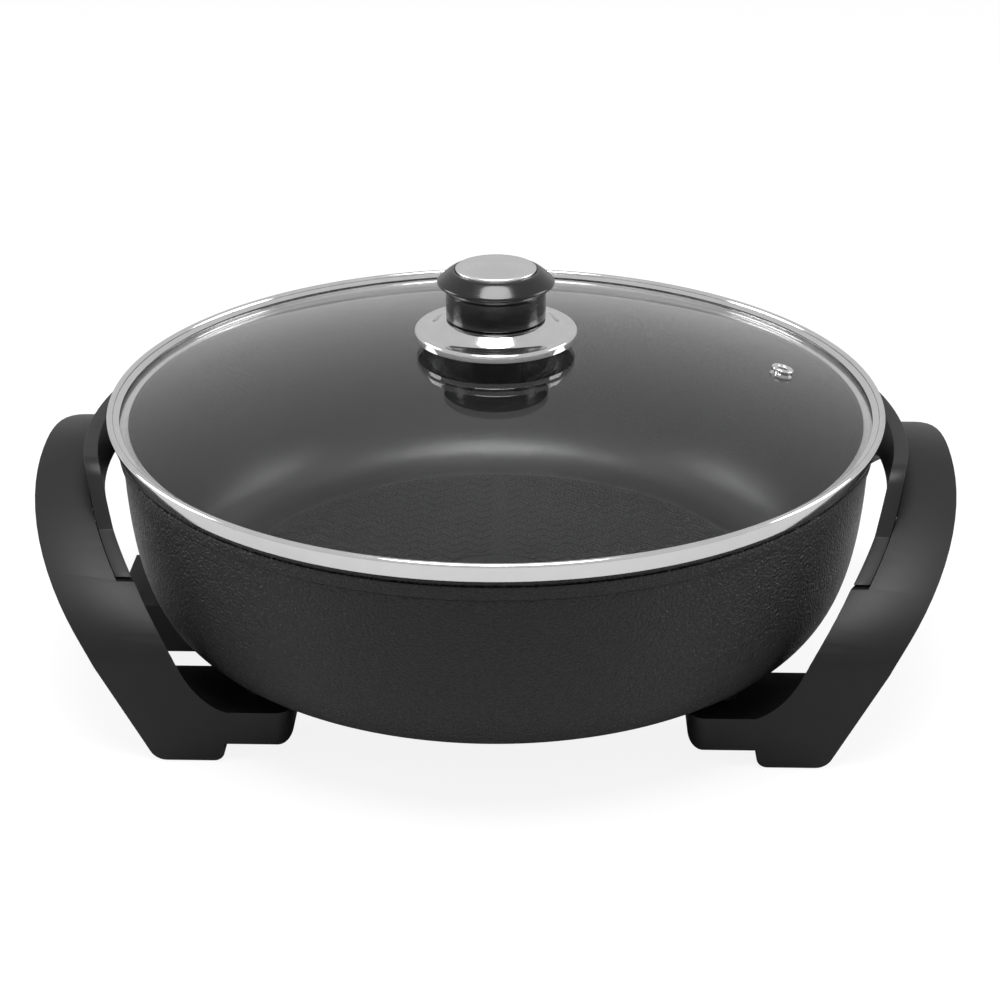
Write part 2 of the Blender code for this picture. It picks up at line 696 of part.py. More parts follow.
def make_handle(side, hand):
    """One handle: shell, liner, their screws, the mounting screws with washers, and the foot pads."""
    reach = grip_outer + cut_overrun

    def toward(low, high):
        """A range of distance from the axis, turned to this handle's side."""
        return sorted((side * low, side * high))

    seat_radius = liner_outer_radius + fit_gap
    shell = handle_form(hand + "_handle_shell", side, 0.0, pad_projection, (black_plastic, 0.45))
    outline = [(side * x, z) for x, z in handle_front_outline()]
    combine(shell, "INTERSECT", prism(hand + "_front_form", outline, "Y", -handle_half_length - cut_overrun,
                                      handle_half_length + cut_overrun))
    tip = side * bracket_tip
    far = side * reach
    plan = rounded([(far, -handle_half_length - cut_overrun, 0), (far, handle_half_length + cut_overrun, 0),
                    (tip, handle_half_length, bracket_tip_corner),
                    (tip, -handle_half_length, bracket_tip_corner)], 3)
    combine(shell, "INTERSECT", prism(hand + "_plan_form", plan, "Z", -cut_overrun, grip_top + cut_overrun))
    hollow = handle_form(hand + "_shell_hollow", side, shell_wall, bracket_top + shell_floor)
    cut(shell, inner_form(hand + "_inner_form"), hollow)

    seat_radius -= liner_lean(liner_screw_height + liner_boss_radius)
    boss_start = math.sqrt(seat_radius ** 2 - (liner_screw_offset - liner_boss_radius) ** 2) + fit_gap
    boss_end = grip_outer - grip_depth + shell_wall * 2
    bosses = rods(hand + "_liner_bosses",
                  [(end * liner_screw_offset, liner_screw_height, *toward(boss_start, boss_end))
                   for end, word in ends],
                  liner_boss_radius, "X")
    combine(shell, "UNION", bosses)

    inner_radius = liner_inner_radius - liner_lean(liner_screw_height)
    liner_face = math.sqrt(inner_radius ** 2 - liner_screw_offset ** 2)
    head_back = liner_face + liner_counterbore
    screw_tip = boss_start + liner_screw_bite
    screw_holes = rods(hand + "_liner_screw_holes",
                       [(end * liner_screw_offset, liner_screw_height,
                         *toward(head_back - cut_overrun, screw_tip + fit_gap)) for end, word in ends],
                       liner_screw_radius + fit_gap, "X")
    mount_low = bracket_bottom - cut_overrun
    mount_holes = rods(hand + "_mount_holes",
                       [(x, y, mount_low, bracket_top + cut_overrun) for x, y in boss_places((side,))],
                       mount_screw_radius + fit_gap, "Z")
    counterbores = rods(hand + "_mount_counterbores",
                        [(x, y, mount_low, bracket_bottom + mount_counterbore)
                         for x, y in boss_places((side,))], mount_washer_radius + fit_gap, "Z", sides=16)
    for end, word in ends:
        prism(f"{hand}_{word}_foot_pad", pad_outline(side, end, 0.0), "Z", 0.0, pad_thickness,
              (rubber_colour, 0.8))
        recess = prism(f"{hand}_{word}_pad_recess", pad_outline(side, end, fit_gap), "Z",
                       pad_projection - cut_overrun, pad_thickness + fit_gap)
        cut(shell, recess)
    cut(shell, pan_envelope(hand + "_shell_trim", pan_clearance), screw_holes, counterbores, mount_holes)

    foot = liner_bottom - cut_overrun
    band = turned(hand + "_handle_liner",
                  [(liner_inner_radius - liner_lean(foot), foot), (liner_outer_radius - liner_lean(foot), foot),
                   (liner_outer_radius - liner_lean(lip_height), lip_height),
                   (liner_inner_radius - liner_lean(lip_height), lip_height)],
                  (black_plastic, 0.45))
    form = prism(hand + "_liner_form", liner_side_outline(), "X", *toward(bracket_tip, reach))
    combine(band, "INTERSECT", form)
    sinks = rods(hand + "_liner_counterbores",
                 [(end * liner_screw_offset, liner_screw_height,
                   *toward(liner_face - liner_thickness, head_back)) for end, word in ends],
                 liner_screw_head_radius + fit_gap, "X")
    through = rods(hand + "_liner_holes",
                   [(end * liner_screw_offset, liner_screw_height,
                     *toward(liner_face, boss_start + cut_overrun)) for end, word in ends],
                   liner_screw_radius + fit_gap, "X")
    cut(band, sinks, through)

    shoulder = head_back - fit_gap
    outward = Matrix.Rotation(math.radians(90) * side, 4, "Y")
    seat_height = bracket_bottom + mount_counterbore - fit_gap
    washer_low = seat_height - mount_washer_thickness
    head_top = washer_low - fit_gap
    screw_end = bracket_top + boss_bite
    for end, word in ends:
        name = f"{hand}_{word}"
        place = Matrix.Translation((side * shoulder, end * liner_screw_offset, liner_screw_height)) @ outward
        screw(name + "_liner_screw", place, liner_screw_head_radius, liner_screw_head_height,
              liner_screw_radius, screw_tip - shoulder)
        x, y = side * boss_x, end * boss_y
        washer = turned(name + "_mount_washer",
                        [(mount_screw_radius + fit_gap, washer_low), (mount_washer_radius, washer_low),
                         (mount_washer_radius, seat_height), (mount_screw_radius + fit_gap, seat_height)],
                        (plain_steel, 0.35, 1.0), 16)
        washer.matrix_world = Matrix.Translation((x, y, 0))
        screw(name + "_mount_screw", Matrix.Translation((x, y, head_top)), mount_head_radius,
              mount_head_height, mount_screw_radius, screw_end - head_top)


def pad_outline(side, end, extra):
    """Rounded rectangle under one foot, grown by extra all round."""
    centre_x = side * (foot_outer - foot_length / 2)
    centre_y = end * boss_y
    across = pad_length / 2 + extra
    along = pad_width / 2 + extra
    radius = pad_corner + extra
    return rounded([(centre_x - across, centre_y - along, radius), (centre_x + across, centre_y - along, radius),
                    (centre_x + across, centre_y + along, radius), (centre_x - across, centre_y + along, radius)],
                   3)


def glass_height(radius):
    """Height of the glass's upper face at a distance from the axis."""
    return glass_crown - glass_sphere_radius + math.sqrt(glass_sphere_radius ** 2 - radius ** 2)


def make_glass():
    rings = 5
    radii = [glass_radius + (glass_hole_radius - glass_radius) * step / rings for step in range(rings + 1)]
    upper = [(radius, glass_height(radius)) for radius in radii]
    lower = [(radius, height - glass_thickness) for radius, height in reversed(upper)]
    glass = turned("lid_glass", upper + lower, (glass_colour, 0.02, 0.0, 1.0))
    vent_hole = prism_round("vent_hole", vent_tube_radius + fit_gap, 4 * glass_thickness)
    cut(glass, vent_hole)


def vent_frame():
    """Place and tilt of the vent: its own Z is square to the glass."""
    tilt = math.asin(vent_distance / glass_sphere_radius)
    turn = Matrix.Rotation(vent_bearing, 4, "Z")
    outward = Matrix.Translation((vent_distance, 0, glass_height(vent_distance)))
    return turn @ outward @ Matrix.Rotation(tilt, 4, "Y")


def prism_round(name, radius, length):
    """Cylinder across the glass at the vent."""
    bm = bmesh.new()
    bmesh.ops.create_cone(bm, cap_ends=True, segments=16, radius1=radius, radius2=radius, depth=length,
                          matrix=vent_frame())
    return mesh_object(name, bm, None)


def make_vent():
    """Eyelet through the glass with its flange above, and the ring it is spread over below."""
    sag = vent_flange_radius ** 2 / (2 * glass_sphere_radius)
    seat = fit_gap
    low = -glass_thickness - sag - 2 * fit_gap - vent_washer_thickness
    eyelet_outline = [(vent_bore_radius, low), (vent_tube_radius, low), (vent_tube_radius, seat),
                      (vent_flange_radius, seat), (vent_flange_radius, seat + vent_flange_height * 0.5),
                      (vent_flange_radius * 0.85, seat + vent_flange_height),
                      (vent_tube_radius, seat + vent_flange_height), (vent_bore_radius, seat + vent_flange_height * 0.5)]
    eyelet = turned("vent_eyelet", eyelet_outline, (bright_steel, 0.12, 1.0), sides=16)
    top = low + vent_washer_thickness
    ring_outline = [(vent_tube_radius + fit_gap, low), (vent_flange_radius, low), (vent_flange_radius, top),
                    (vent_tube_radius + fit_gap, top)]
    ring = turned("vent_washer", ring_outline, (bright_steel, 0.2, 1.0), sides=16)
    for piece in (eyelet, ring):
        piece.data.transform(vent_frame())


def make_rim():
    """Steel channel: leaning outer wall, rounded top, crimp over the glass, flange below it, skirt."""
    outer_low = lid_radius - rim_foot_inset
    bead_radius = rim_bead_width / 2
    bead_centre = (lid_radius - bead_radius, lid_top_height - bead_radius)
    crimp_radius = pocket_radius - rim_crimp
    crimp_low = glass_height(crimp_radius) + fit_gap
    flange_top = rim_bottom + rim_sheet
    skirt_inner = skirt_radius - rim_sheet
    skirt_low = rim_bottom - skirt_drop
    outline = [(outer_low, rim_bottom)]
    outline += arc(bead_centre, bead_radius, bead_radius, 0, 180, 5)
    outline += [(crimp_radius, crimp_low + rim_sheet / 2), (crimp_radius, crimp_low),
                (pocket_radius, crimp_low), (pocket_radius, flange_top),
                (skirt_radius, flange_top), (skirt_inner, flange_top - rim_sheet / 2),
                (skirt_inner, skirt_low), (skirt_radius, skirt_low), (skirt_radius, rim_bottom)]
    turned("lid_rim", outline, (bright_steel, 0.15, 1.0))


def ring_solid(name, outer, inner, low, high, finish, sides=knob_sides):
    return turned(name, [(inner, low), (outer, low), (outer, high), (inner, high)], finish, sides)


def make_knob():
    """The knob and everything that its screw clamps to the glass, from the bottom up."""
    bore = stud_radius + stud_clearance
    under = glass_crown - glass_thickness
    lower_gasket_top = under - fit_gap - glass_sag(glass_hole_radius, lower_gasket_radius)
    lower_gasket_low = lower_gasket_top - lower_gasket_thickness
    ring_solid("lower_gasket", lower_gasket_radius, bore, lower_gasket_low, lower_gasket_top,
               (rubber_colour, 0.6))
    washer_top = lower_gasket_low - fit_gap
    washer_low = washer_top - knob_washer_thickness
    ring_solid("knob_washer", knob_washer_radius, bore, washer_low, washer_top, (plain_steel, 0.3, 1.0))

    gasket_low = glass_crown + fit_gap
    gasket_top = gasket_low + gasket_thickness
    ring_solid("upper_gasket", gasket_radius, bore, gasket_low, gasket_top, (rubber_colour, 0.6))
    spacer_low = gasket_top + fit_gap
    spacer_top = spacer_low + spacer_height
    ring_solid("knob_spacer", spacer_radius, bore, spacer_low, spacer_top, (black_plastic, 0.4))
    disc_low = spacer_top + fit_gap
    disc_top = disc_low + disc_sheet
    make_disc(disc_low, disc_top, bore)

    collar_low = disc_top + fit_gap
    collar_top = collar_low + collar_height
    flange_height = collar_top + knob_flare_height
    cone_top = flange_height + knob_cone_height
    seat_radius = cap_radius + fit_gap
    seat_height = cone_top - cap_seat_depth
    insert_hole = insert_radius + fit_gap
    insert_top = collar_low + fit_gap + insert_length
    edge = knob_radius - collar_radius
    turned("knob_body",
           [(insert_hole, collar_low), (collar_radius - edge / 6, collar_low), (collar_radius, collar_low + edge / 6),
            (collar_radius, collar_top), (knob_radius - edge / 8, flange_height - edge / 5),
            (knob_radius, flange_height), (knob_radius - edge / 8, flange_height + edge / 5),
            (seat_radius + edge / 6, cone_top), (seat_radius, cone_top), (seat_radius, seat_height),
            (0, seat_height), (0, insert_top + fit_gap), (insert_hole, insert_top + fit_gap)],
           (black_plastic, 0.3), knob_sides)
    ring_solid("knob_insert", insert_radius, bore, collar_low + fit_gap, insert_top, (brass_colour, 0.35, 1.0), 16)

    cap_low = seat_height + fit_gap
    cap_edge = cap_low + cap_edge_height
    dome = [(cap_radius * math.cos(math.radians(angle)), cap_edge + cap_rise * math.sin(math.radians(angle)))
            for angle in (0, 25, 50, 70, 90)]
    dome[-1] = (0, cap_edge + cap_rise)
    inner = [(radius * (cap_radius - cap_sheet) / cap_radius, height - cap_sheet)
             for radius, height in reversed(dome)]
    turned("knob_cap", [(cap_radius, cap_low)] + dome + inner + [(cap_radius - cap_sheet, cap_low)],
           (bright_steel, 0.2, 1.0), knob_sides)

    head_top = washer_low - fit_gap
    screw("knob_screw", Matrix.Translation((0, 0, head_top)), knob_screw_head_radius,
          knob_screw_head_height, stud_radius, collar_low + knob_screw_reach - head_top)


def glass_sag(near, far):
    """How much the glass falls from one distance from the axis to another."""
    return glass_height(near) - glass_height(far)


def make_disc(low, high, bore):
    """Stamped disc: flat hub, sloping shoulder, flat brim and a rolled edge."""
    hub = disc_hub_radius
    brim_radius = disc_radius - 4 * disc_sheet
    brim_high = high - disc_skirt_drop * 0.6
    edge_low = high - disc_skirt_drop
    shoulder = bezier(((hub, high), (hub + 3 * disc_sheet, high), (brim_radius - 5 * disc_sheet, brim_high),
                       (brim_radius, brim_high)), 5)
    upper = shoulder + [(disc_radius - 1.5 * disc_sheet, brim_high + disc_sheet * 0.4),
                        (disc_radius - disc_sheet / 2, brim_high - disc_sheet * 0.3),
                        (disc_radius, brim_high - disc_sheet * 1.2), (disc_radius, edge_low)]
    lower = [(disc_radius - disc_sheet, edge_low), (disc_radius - disc_sheet, brim_high - disc_sheet)]
    lower += [(radius, height - disc_sheet) for radius, height in reversed(shoulder)]
    turned("knob_base_disc", [(bore, high)] + upper + lower + [(bore, low)], (bright_steel, 0.12, 1.0), knob_sides)


def main():
    clear_scene()
    make_pan()
    make_element()
    make_sleeve()
    make_housing()
    make_handle(-1, "left")
    make_handle(1, "right")
    make_glass()
    make_vent()
    make_rim()
    make_knob()


main()
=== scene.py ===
import math

import bmesh
import bpy
from bpy.props import FloatProperty, FloatVectorProperty, PointerProperty
from mathutils import Matrix, Vector


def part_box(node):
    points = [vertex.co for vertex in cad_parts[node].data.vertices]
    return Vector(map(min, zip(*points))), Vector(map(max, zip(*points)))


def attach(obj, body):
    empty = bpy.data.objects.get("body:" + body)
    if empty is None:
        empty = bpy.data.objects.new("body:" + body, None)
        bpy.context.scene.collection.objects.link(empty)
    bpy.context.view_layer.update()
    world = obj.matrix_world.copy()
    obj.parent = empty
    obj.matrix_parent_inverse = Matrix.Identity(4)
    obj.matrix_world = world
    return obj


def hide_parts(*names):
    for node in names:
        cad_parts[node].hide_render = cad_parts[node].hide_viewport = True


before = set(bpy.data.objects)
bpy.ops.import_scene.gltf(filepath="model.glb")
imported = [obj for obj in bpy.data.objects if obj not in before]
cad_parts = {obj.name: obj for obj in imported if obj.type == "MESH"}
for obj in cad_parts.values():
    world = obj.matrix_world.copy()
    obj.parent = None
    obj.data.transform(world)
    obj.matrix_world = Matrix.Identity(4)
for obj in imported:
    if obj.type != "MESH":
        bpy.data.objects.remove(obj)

bl_info = {
    "name": "Electric Skillet",
    "version": (1, 0, 0),
    "blender": (4, 5, 0),
    "location": "3D View > Sidebar > Skillet",
    "description": "Dresses a round electric skillet with a glass lid in smooth surfaces and finishes",
    "category": "Object",
}

mm = 0.001
fit_gap = 0.3 * mm
weld = 0.01 * mm

# The steps round a turned piece: enough that the rim's outline shows no corners
rim_steps = 192
knob_steps = 96
small_steps = 32

# Steps along the handle's arch, from the shoulder to the crown
arch_steps = 18


def low(node):
    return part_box(node)[0]


def high(node):
    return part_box(node)[1]


def srgb(code):
    """Linear colour of an sRGB hex value."""
    parts = [int(code[k:k + 2], 16) / 255 for k in (0, 2, 4)]
    return [c / 12.92 if c <= 0.04045 else ((c + 0.055) / 1.055) ** 2.4 for c in parts]


def size_field(name, description, default):
    return FloatProperty(name=name, description=description, default=default, unit="LENGTH")


def colour_field(name, description, code):
    return FloatVectorProperty(name=name, description=description, default=srgb(code), subtype="COLOR",
                               size=3, min=0.0, max=1.0)


class SkilletSizes(bpy.types.PropertyGroup):
    pan_radius: size_field("Pan radius", "Outer radius of the pan's rim", high("pan_body")[0])
    lip_height: size_field("Lip height", "Height of the pan's lip above the worktop", high("pan_body")[2])
    lid_radius: size_field("Lid radius", "Outer radius of the lid's steel rim", high("lid_rim")[0])
    glass_thickness: size_field("Glass thickness", "Thickness of the lid's glass", 4.0 * mm)
    hammer_pitch: size_field("Coating grain", "Spacing of the dimples in the pan's coating", 1.3 * mm)
    edge_round: size_field("Edge rounding", "Rounding of the moulded handles' edges", 1.2 * mm)


class SkilletColours(bpy.types.PropertyGroup):
    coating: colour_field("Coating", "Colour of the pan's non-stick coating", "0C0C0D")
    phenolic: colour_field("Phenolic", "Colour of the moulded handles", "151515")
    knob: colour_field("Knob", "Colour of the glossy moulded knob", "0B0B0C")
    steel: colour_field("Steel", "Colour of the polished stainless steel", "E6E6E6")
    floor: colour_field("Worktop", "Colour of the floor under the skillet", "C8C8C8")


def sizes():
    return bpy.context.scene.skillet_sizes


def colours():
    return bpy.context.scene.skillet_colours


# Drawing and shaping in edit mode

def sketch(name, points):
    """Draws a line of points as by hand: one vertex, extruded from each point to the next."""
    bpy.ops.object.select_all(action="DESELECT")
    bpy.ops.mesh.primitive_plane_add(size=2 * mm, location=(0, 0, 0))
    piece = bpy.context.object
    piece.name = name
    bpy.ops.object.mode_set(mode="EDIT")
    bpy.ops.mesh.select_mode(type="VERT")
    bpy.ops.mesh.select_all(action="SELECT")
    bpy.ops.mesh.merge(type="CENTER")
    points = [Vector(p) for p in points]
    bpy.ops.transform.translate(value=points[0])
    for here, there in zip(points, points[1:]):
        bpy.ops.mesh.extrude_region_move(TRANSFORM_OT_translate={"value": there - here})
    bpy.ops.mesh.select_all(action="SELECT")
    return piece


def close_mesh():
    """Merges what meets, turns the faces outward and leaves edit mode."""
    bpy.ops.mesh.select_all(action="SELECT")
    bpy.ops.mesh.remove_doubles(threshold=weld)
    bpy.ops.mesh.normals_make_consistent(inside=False)
    bpy.ops.object.mode_set(mode="OBJECT")


def turn(name, outline, steps=rim_steps):
    """Spins an outline of (radius, height) round the upright axis; it closes on itself or on the axis."""
    ring = [(radius, 0, height) for radius, height in outline]
    if outline[0][0] or outline[-1][0]:
        ring.append(ring[0])
    piece = sketch(name, ring)
    bpy.ops.mesh.spin(steps=steps, angle=math.tau, center=(0, 0, 0), axis=(0, 0, 1))
    close_mesh()
    return piece


def select_only(piece):
    bpy.ops.object.select_all(action="DESELECT")
    piece.select_set(True)
    bpy.context.view_layer.objects.active = piece


def slab(name, outline, axis, start, end):
    """Fills a closed outline drawn across an axis and extrudes it along that axis."""
    along = "XYZ".index(axis)
    ring = []
    for first, second in outline:
        place = [first, second]
        place.insert(along, start)
        ring.append(place)
    piece = sketch(name, ring + ring[:1])
    bpy.ops.mesh.remove_doubles(threshold=weld)
    bpy.ops.mesh.edge_face_add()
    shift = Vector((0, 0, 0))
    shift[along] = end - start
    bpy.ops.mesh.extrude_region_move(TRANSFORM_OT_translate={"value": shift})
    close_mesh()
    return piece


def loft(name, sections):
    """Draws each cross-section as a closed line, bridges neighbours and fills the two ends."""
    piece = sketch(name, sections[0] + sections[0][:1])
    count = len(sections[0]) + 1
    bpy.ops.mesh.select_all(action="DESELECT")
    for before, section in zip(sections, sections[1:]):
        select_verts(piece, range(len(edit_verts(piece)) - 1, len(edit_verts(piece))))
        ring = [Vector(p) for p in section + section[:1]]
        bpy.ops.mesh.duplicate_move(TRANSFORM_OT_translate={"value": ring[0] - Vector(before[0])})
        for here, there in zip(ring, ring[1:]):
            bpy.ops.mesh.extrude_region_move(TRANSFORM_OT_translate={"value": there - here})
    for index in range(len(sections) - 1):
        select_verts(piece, range(index * count, (index + 2) * count))
        bpy.ops.mesh.bridge_edge_loops()
    for index in (0, len(sections) - 1):
        select_verts(piece, range(index * count, (index + 1) * count))
        bpy.ops.mesh.edge_face_add()
    close_mesh()
    return piece


def edit_verts(piece):
    made = bmesh.from_edit_mesh(piece.data)
    made.verts.ensure_lookup_table()
    return made.verts


def select_verts(piece, wanted):
    """Selects vertices by their order of drawing, and the edges between them."""
    bpy.ops.mesh.select_all(action="DESELECT")
    verts = edit_verts(piece)
    for index in wanted:
        verts[index].select = True
    made = bmesh.from_edit_mesh(piece.data)
    made.select_flush(True)
    bmesh.update_edit_mesh(piece.data)


def peg(name, radius, axis, place, start, end, sides=small_steps):
    """A round tool along one axis; place holds the other two numbers in order."""
    along = "XYZ".index(axis)
    centre = list(place)
    centre.insert(along, (start + end) / 2)
    quarter = math.tau / 4
    turned = {"X": (0, quarter, 0), "Y": (quarter, 0, 0), "Z": (0, 0, 0)}[axis]
    bpy.ops.object.select_all(action="DESELECT")
    bpy.ops.mesh.primitive_cylinder_add(vertices=sides, radius=radius, depth=abs(end - start), location=centre,
                                        rotation=turned)
    made = bpy.context.object
    made.name = name
    return made


def carve(piece, operation, *tools):
    """Joins, cuts or trims a piece with each tool in turn; the tools are used up."""
    for tool in tools:
        select_only(piece)
        step = piece.modifiers.new(tool.name, "BOOLEAN")
        step.operation = operation
        step.solver = "EXACT"
        step.object = tool
        bpy.ops.object.modifier_apply(modifier=step.name)
        bpy.data.objects.remove(tool)


def round_edges(piece, width, segments=3, degrees=32):
    """Rounds the edges where two faces meet at more than the given angle."""
    select_only(piece)
    step = piece.modifiers.new("rounding", "BEVEL")
    step.limit_method = "ANGLE"
    step.angle_limit = math.radians(degrees)
    step.width = width
    step.segments = segments
    step.use_clamp_overlap = True
    bpy.ops.object.modifier_apply(modifier=step.name)


def smooth(piece, degrees=35):
    select_only(piece)
    bpy.ops.object.shade_smooth_by_angle(angle=math.radians(degrees))


def dress(piece, node, body, finish):
    """Puts a finished piece in the place of a solid of the model, with its material."""
    smooth(piece)
    piece.data.materials.clear()
    piece.data.materials.append(finish)
    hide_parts(node)
    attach(piece, body)


def paint(node, finish):
    """Gives a solid that keeps its own shape its material."""
    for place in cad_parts[node].material_slots:
        place.material = finish


def arc(centre, across, up, start, end, steps):
    """Points on an ellipse with half axes across and up, between two angles in degrees."""
    points = []
    for step in range(steps + 1):
        angle = math.radians(start + (end - start) * step / steps)
        points.append((centre[0] + across * math.cos(angle), centre[1] + up * math.sin(angle)))
    return points


def rounded(corners, steps=8):
    """Turns corners of (first, second, radius) into a line whose arcs touch both edges of each corner."""
    line = []
    for index, (x, y, radius) in enumerate(corners):
        here = Vector((x, y))
        if not radius:
            line.append((x, y))
            continue
        back = (Vector(corners[index - 1][:2]) - here).normalized()
        onward = (Vector(corners[(index + 1) % len(corners)][:2]) - here).normalized()
        half = back.angle(onward) / 2
        centre = here + (back + onward).normalized() * radius / math.sin(half)
        first = here + back * radius / math.tan(half) - centre
        last = here + onward * radius / math.tan(half) - centre
        start = math.atan2(first.y, first.x)
        sweep = (math.atan2(last.y, last.x) - start + math.pi) % math.tau - math.pi
        line += arc(centre, radius, radius, math.degrees(start), math.degrees(start + sweep), steps)
    return line


def bezier(points, steps):
    curve = []
    for step in range(steps + 1):
        t = step / steps
        weights = ((1 - t) ** 3, 3 * (1 - t) ** 2 * t, 3 * (1 - t) * t ** 2, t ** 3)
        curve.append(tuple(sum(w * p[k] for w, p in zip(weights, points)) for k in (0, 1)))
    return curve


def spread(shares, start, end):
    return [tuple(start[k] + share[k] * (end[k] - start[k]) for k in (0, 1)) for share in shares]


# Materials

def add(tree, kind, links=(), **settings):
    """Adds a node: settings are its own properties, links are (input, value or output socket) pairs."""
    made = tree.nodes.new(kind)
    for name, value in settings.items():
        setattr(made, name, value)
    for place, value in links:
        if isinstance(value, bpy.types.NodeSocket):
            tree.links.new(value, made.inputs[place])
        else:
            made.inputs[place].default_value = value
    return made


def new_finish(name, colour, roughness, metallic=0.0, **plain):
    """A Principled material; plain sets more of its sockets, with _ for spaces."""
    made = bpy.data.materials.new(name)
    made.use_nodes = True
    shader = made.node_tree.nodes["Principled BSDF"]
    shader.inputs["Base Color"].default_value = (*colour, 1.0)
    shader.inputs["Roughness"].default_value = roughness
    shader.inputs["Metallic"].default_value = metallic
    for socket, value in plain.items():
        shader.inputs[socket.replace("_", " ")].default_value = value
    return made, made.node_tree, shader


def object_place(tree):
    return add(tree, "ShaderNodeTexCoord").outputs["Object"]


def grain(tree, place, size, detail=2.0, roughness=0.5):
    """Noise whose features are about size across."""
    return add(tree, "ShaderNodeTexNoise", [("Vector", place), ("Scale", 1 / size), ("Detail", detail),
                                            ("Roughness", roughness)]).outputs["Fac"]


def maths(tree, operation, first, second=None, third=None):
    links = [(index, value) for index, value in enumerate((first, second, third)) if value is not None]
    return add(tree, "ShaderNodeMath", links, operation=operation).outputs[0]


def between(tree, value, low_end, high_end, low_out, high_out):
    """Maps a value from one range to another, and holds it at the ends."""
    return add(tree, "ShaderNodeMapRange", [("Value", value), ("From Min", low_end), ("From Max", high_end),
                                            ("To Min", low_out), ("To Max", high_out)]).outputs["Result"]


def bumped(tree, shader, height, distance, strength=1.0, below=None):
    links = [("Height", height), ("Distance", distance), ("Strength", strength)]
    if below:
        links.append(("Normal", below))
    normal = add(tree, "ShaderNodeBump", links).outputs["Normal"]
    tree.links.new(normal, shader.inputs["Normal"])
    return normal


def tinted(tree, shader, colour, value, dark, light):
    """Lets a value between 0 and 1 vary the colour from dark to light times itself."""
    shade = between(tree, value, 0.3, 0.7, dark, light)
    mixed = add(tree, "ShaderNodeVectorMath", [(0, (*colour,)), ("Scale", shade)], operation="SCALE")
    tree.links.new(mixed.outputs["Vector"], shader.inputs["Base Color"])


def floor_pattern(tree, place):
    """Low waves cast in the pan's floor: rows 8 mm apart, a bare strip and a bare disc in the middle."""
    row, wave, swing = 8.0 * mm, 12.8 * mm, 2.2 * mm
    strip, disc, edge = 4.0 * mm, 32.0 * mm, 126.0 * mm
    parts = add(tree, "ShaderNodeSeparateXYZ", [(0, place)]).outputs
    along = maths(tree, "SINE", maths(tree, "MULTIPLY", parts["X"], math.tau / wave))
    shifted = maths(tree, "MULTIPLY_ADD", along, swing, parts["Y"])
    turn_in = maths(tree, "FRACT", maths(tree, "DIVIDE", shifted, row))
    from_middle = maths(tree, "ABSOLUTE", maths(tree, "SUBTRACT", turn_in, 0.5))
    ridge = between(tree, from_middle, 0.07, 0.16, 1.0, 0.0)
    flat = add(tree, "ShaderNodeCombineXYZ", [("X", parts["X"]), ("Y", parts["Y"])]).outputs[0]
    radius = add(tree, "ShaderNodeVectorMath", [(0, flat)], operation="LENGTH").outputs["Value"]
    inside = maths(tree, "LESS_THAN", radius, edge)
    outside = maths(tree, "GREATER_THAN", radius, disc)
    beside = maths(tree, "GREATER_THAN", maths(tree, "ABSOLUTE", parts["X"]), strip)
    level = maths(tree, "MULTIPLY", maths(tree, "LESS_THAN", parts["Z"], floor_height + 0.3 * mm),
                  maths(tree, "GREATER_THAN", parts["Z"], floor_height - 0.3 * mm))
    ring = between(tree, maths(tree, "ABSOLUTE", maths(tree, "SUBTRACT", radius, disc)), 0.5 * mm, 1.1 * mm, 1.0, 0.0)
    waves = maths(tree, "MULTIPLY", maths(tree, "MULTIPLY", ridge, inside), maths(tree, "MULTIPLY", outside, beside))
    return maths(tree, "MULTIPLY", maths(tree, "MAXIMUM", waves, ring), level)


def non_stick_coating():
    """Sprayed and baked non-stick coating on cast aluminium.

    Outside, the hammered casting under it breaks each highlight into dimples about 1.3 mm across.
    Inside, only the spray's finer orange peel softens the sheen, and the floor's cast waves catch
    the light.
    """
    colour = colours().coating
    made, tree, shader = new_finish("non_stick_coating", colour, 0.33, Specular_IOR_Level=0.5)
    place = object_place(tree)
    dimples = grain(tree, place, sizes().hammer_pitch)
    facing = add(tree, "ShaderNodeVectorMath", [(0, place), (1, add(tree, "ShaderNodeNewGeometry").outputs["Normal"])],
                 operation="MULTIPLY").outputs["Vector"]
    sides = add(tree, "ShaderNodeSeparateXYZ", [(0, facing)]).outputs
    outward = maths(tree, "ADD", sides["X"], sides["Y"])
    hammered = maths(tree, "MULTIPLY", dimples, between(tree, outward, 0.0, 5.0 * mm, 0.06, 1.0))
    peel = grain(tree, place, 0.45 * mm, 1.0)
    waves = floor_pattern(tree, place)
    first = bumped(tree, shader, hammered, 1.6 * mm)
    second = bumped(tree, shader, peel, 0.05 * mm, 0.6, first)
    bumped(tree, shader, waves, 0.7 * mm, 1.0, second)
    tree.links.new(between(tree, waves, 0.0, 1.0, 0.42, 0.12), shader.inputs["Specular IOR Level"])
    tinted(tree, shader, colour, dimples, 0.65, 1.35)
    rough = between(tree, dimples, 0.35, 0.65, 0.28, 0.40)
    tree.links.new(rough, shader.inputs["Roughness"])
    return made


def moulded_phenolic():
    """Compression-moulded phenolic for the handles and the socket.

    Its mould is blasted, so the surface is matt with a grain of half a millimetre, and the filler
    shows as faint lighter clouds some centimetres across.
    """
    colour = colours().phenolic
    made, tree, shader = new_finish("moulded_phenolic", colour, 0.45, Specular_IOR_Level=0.35)
    place = object_place(tree)
    blast = grain(tree, place, 0.5 * mm, 3.0)
    clouds = grain(tree, place, 18.0 * mm, 2.0)
    bumped(tree, shader, blast, 0.035 * mm, 0.7)
    tinted(tree, shader, colour, clouds, 0.88, 1.12)
    tree.links.new(between(tree, blast, 0.3, 0.7, 0.38, 0.50), shader.inputs["Roughness"])
    return made


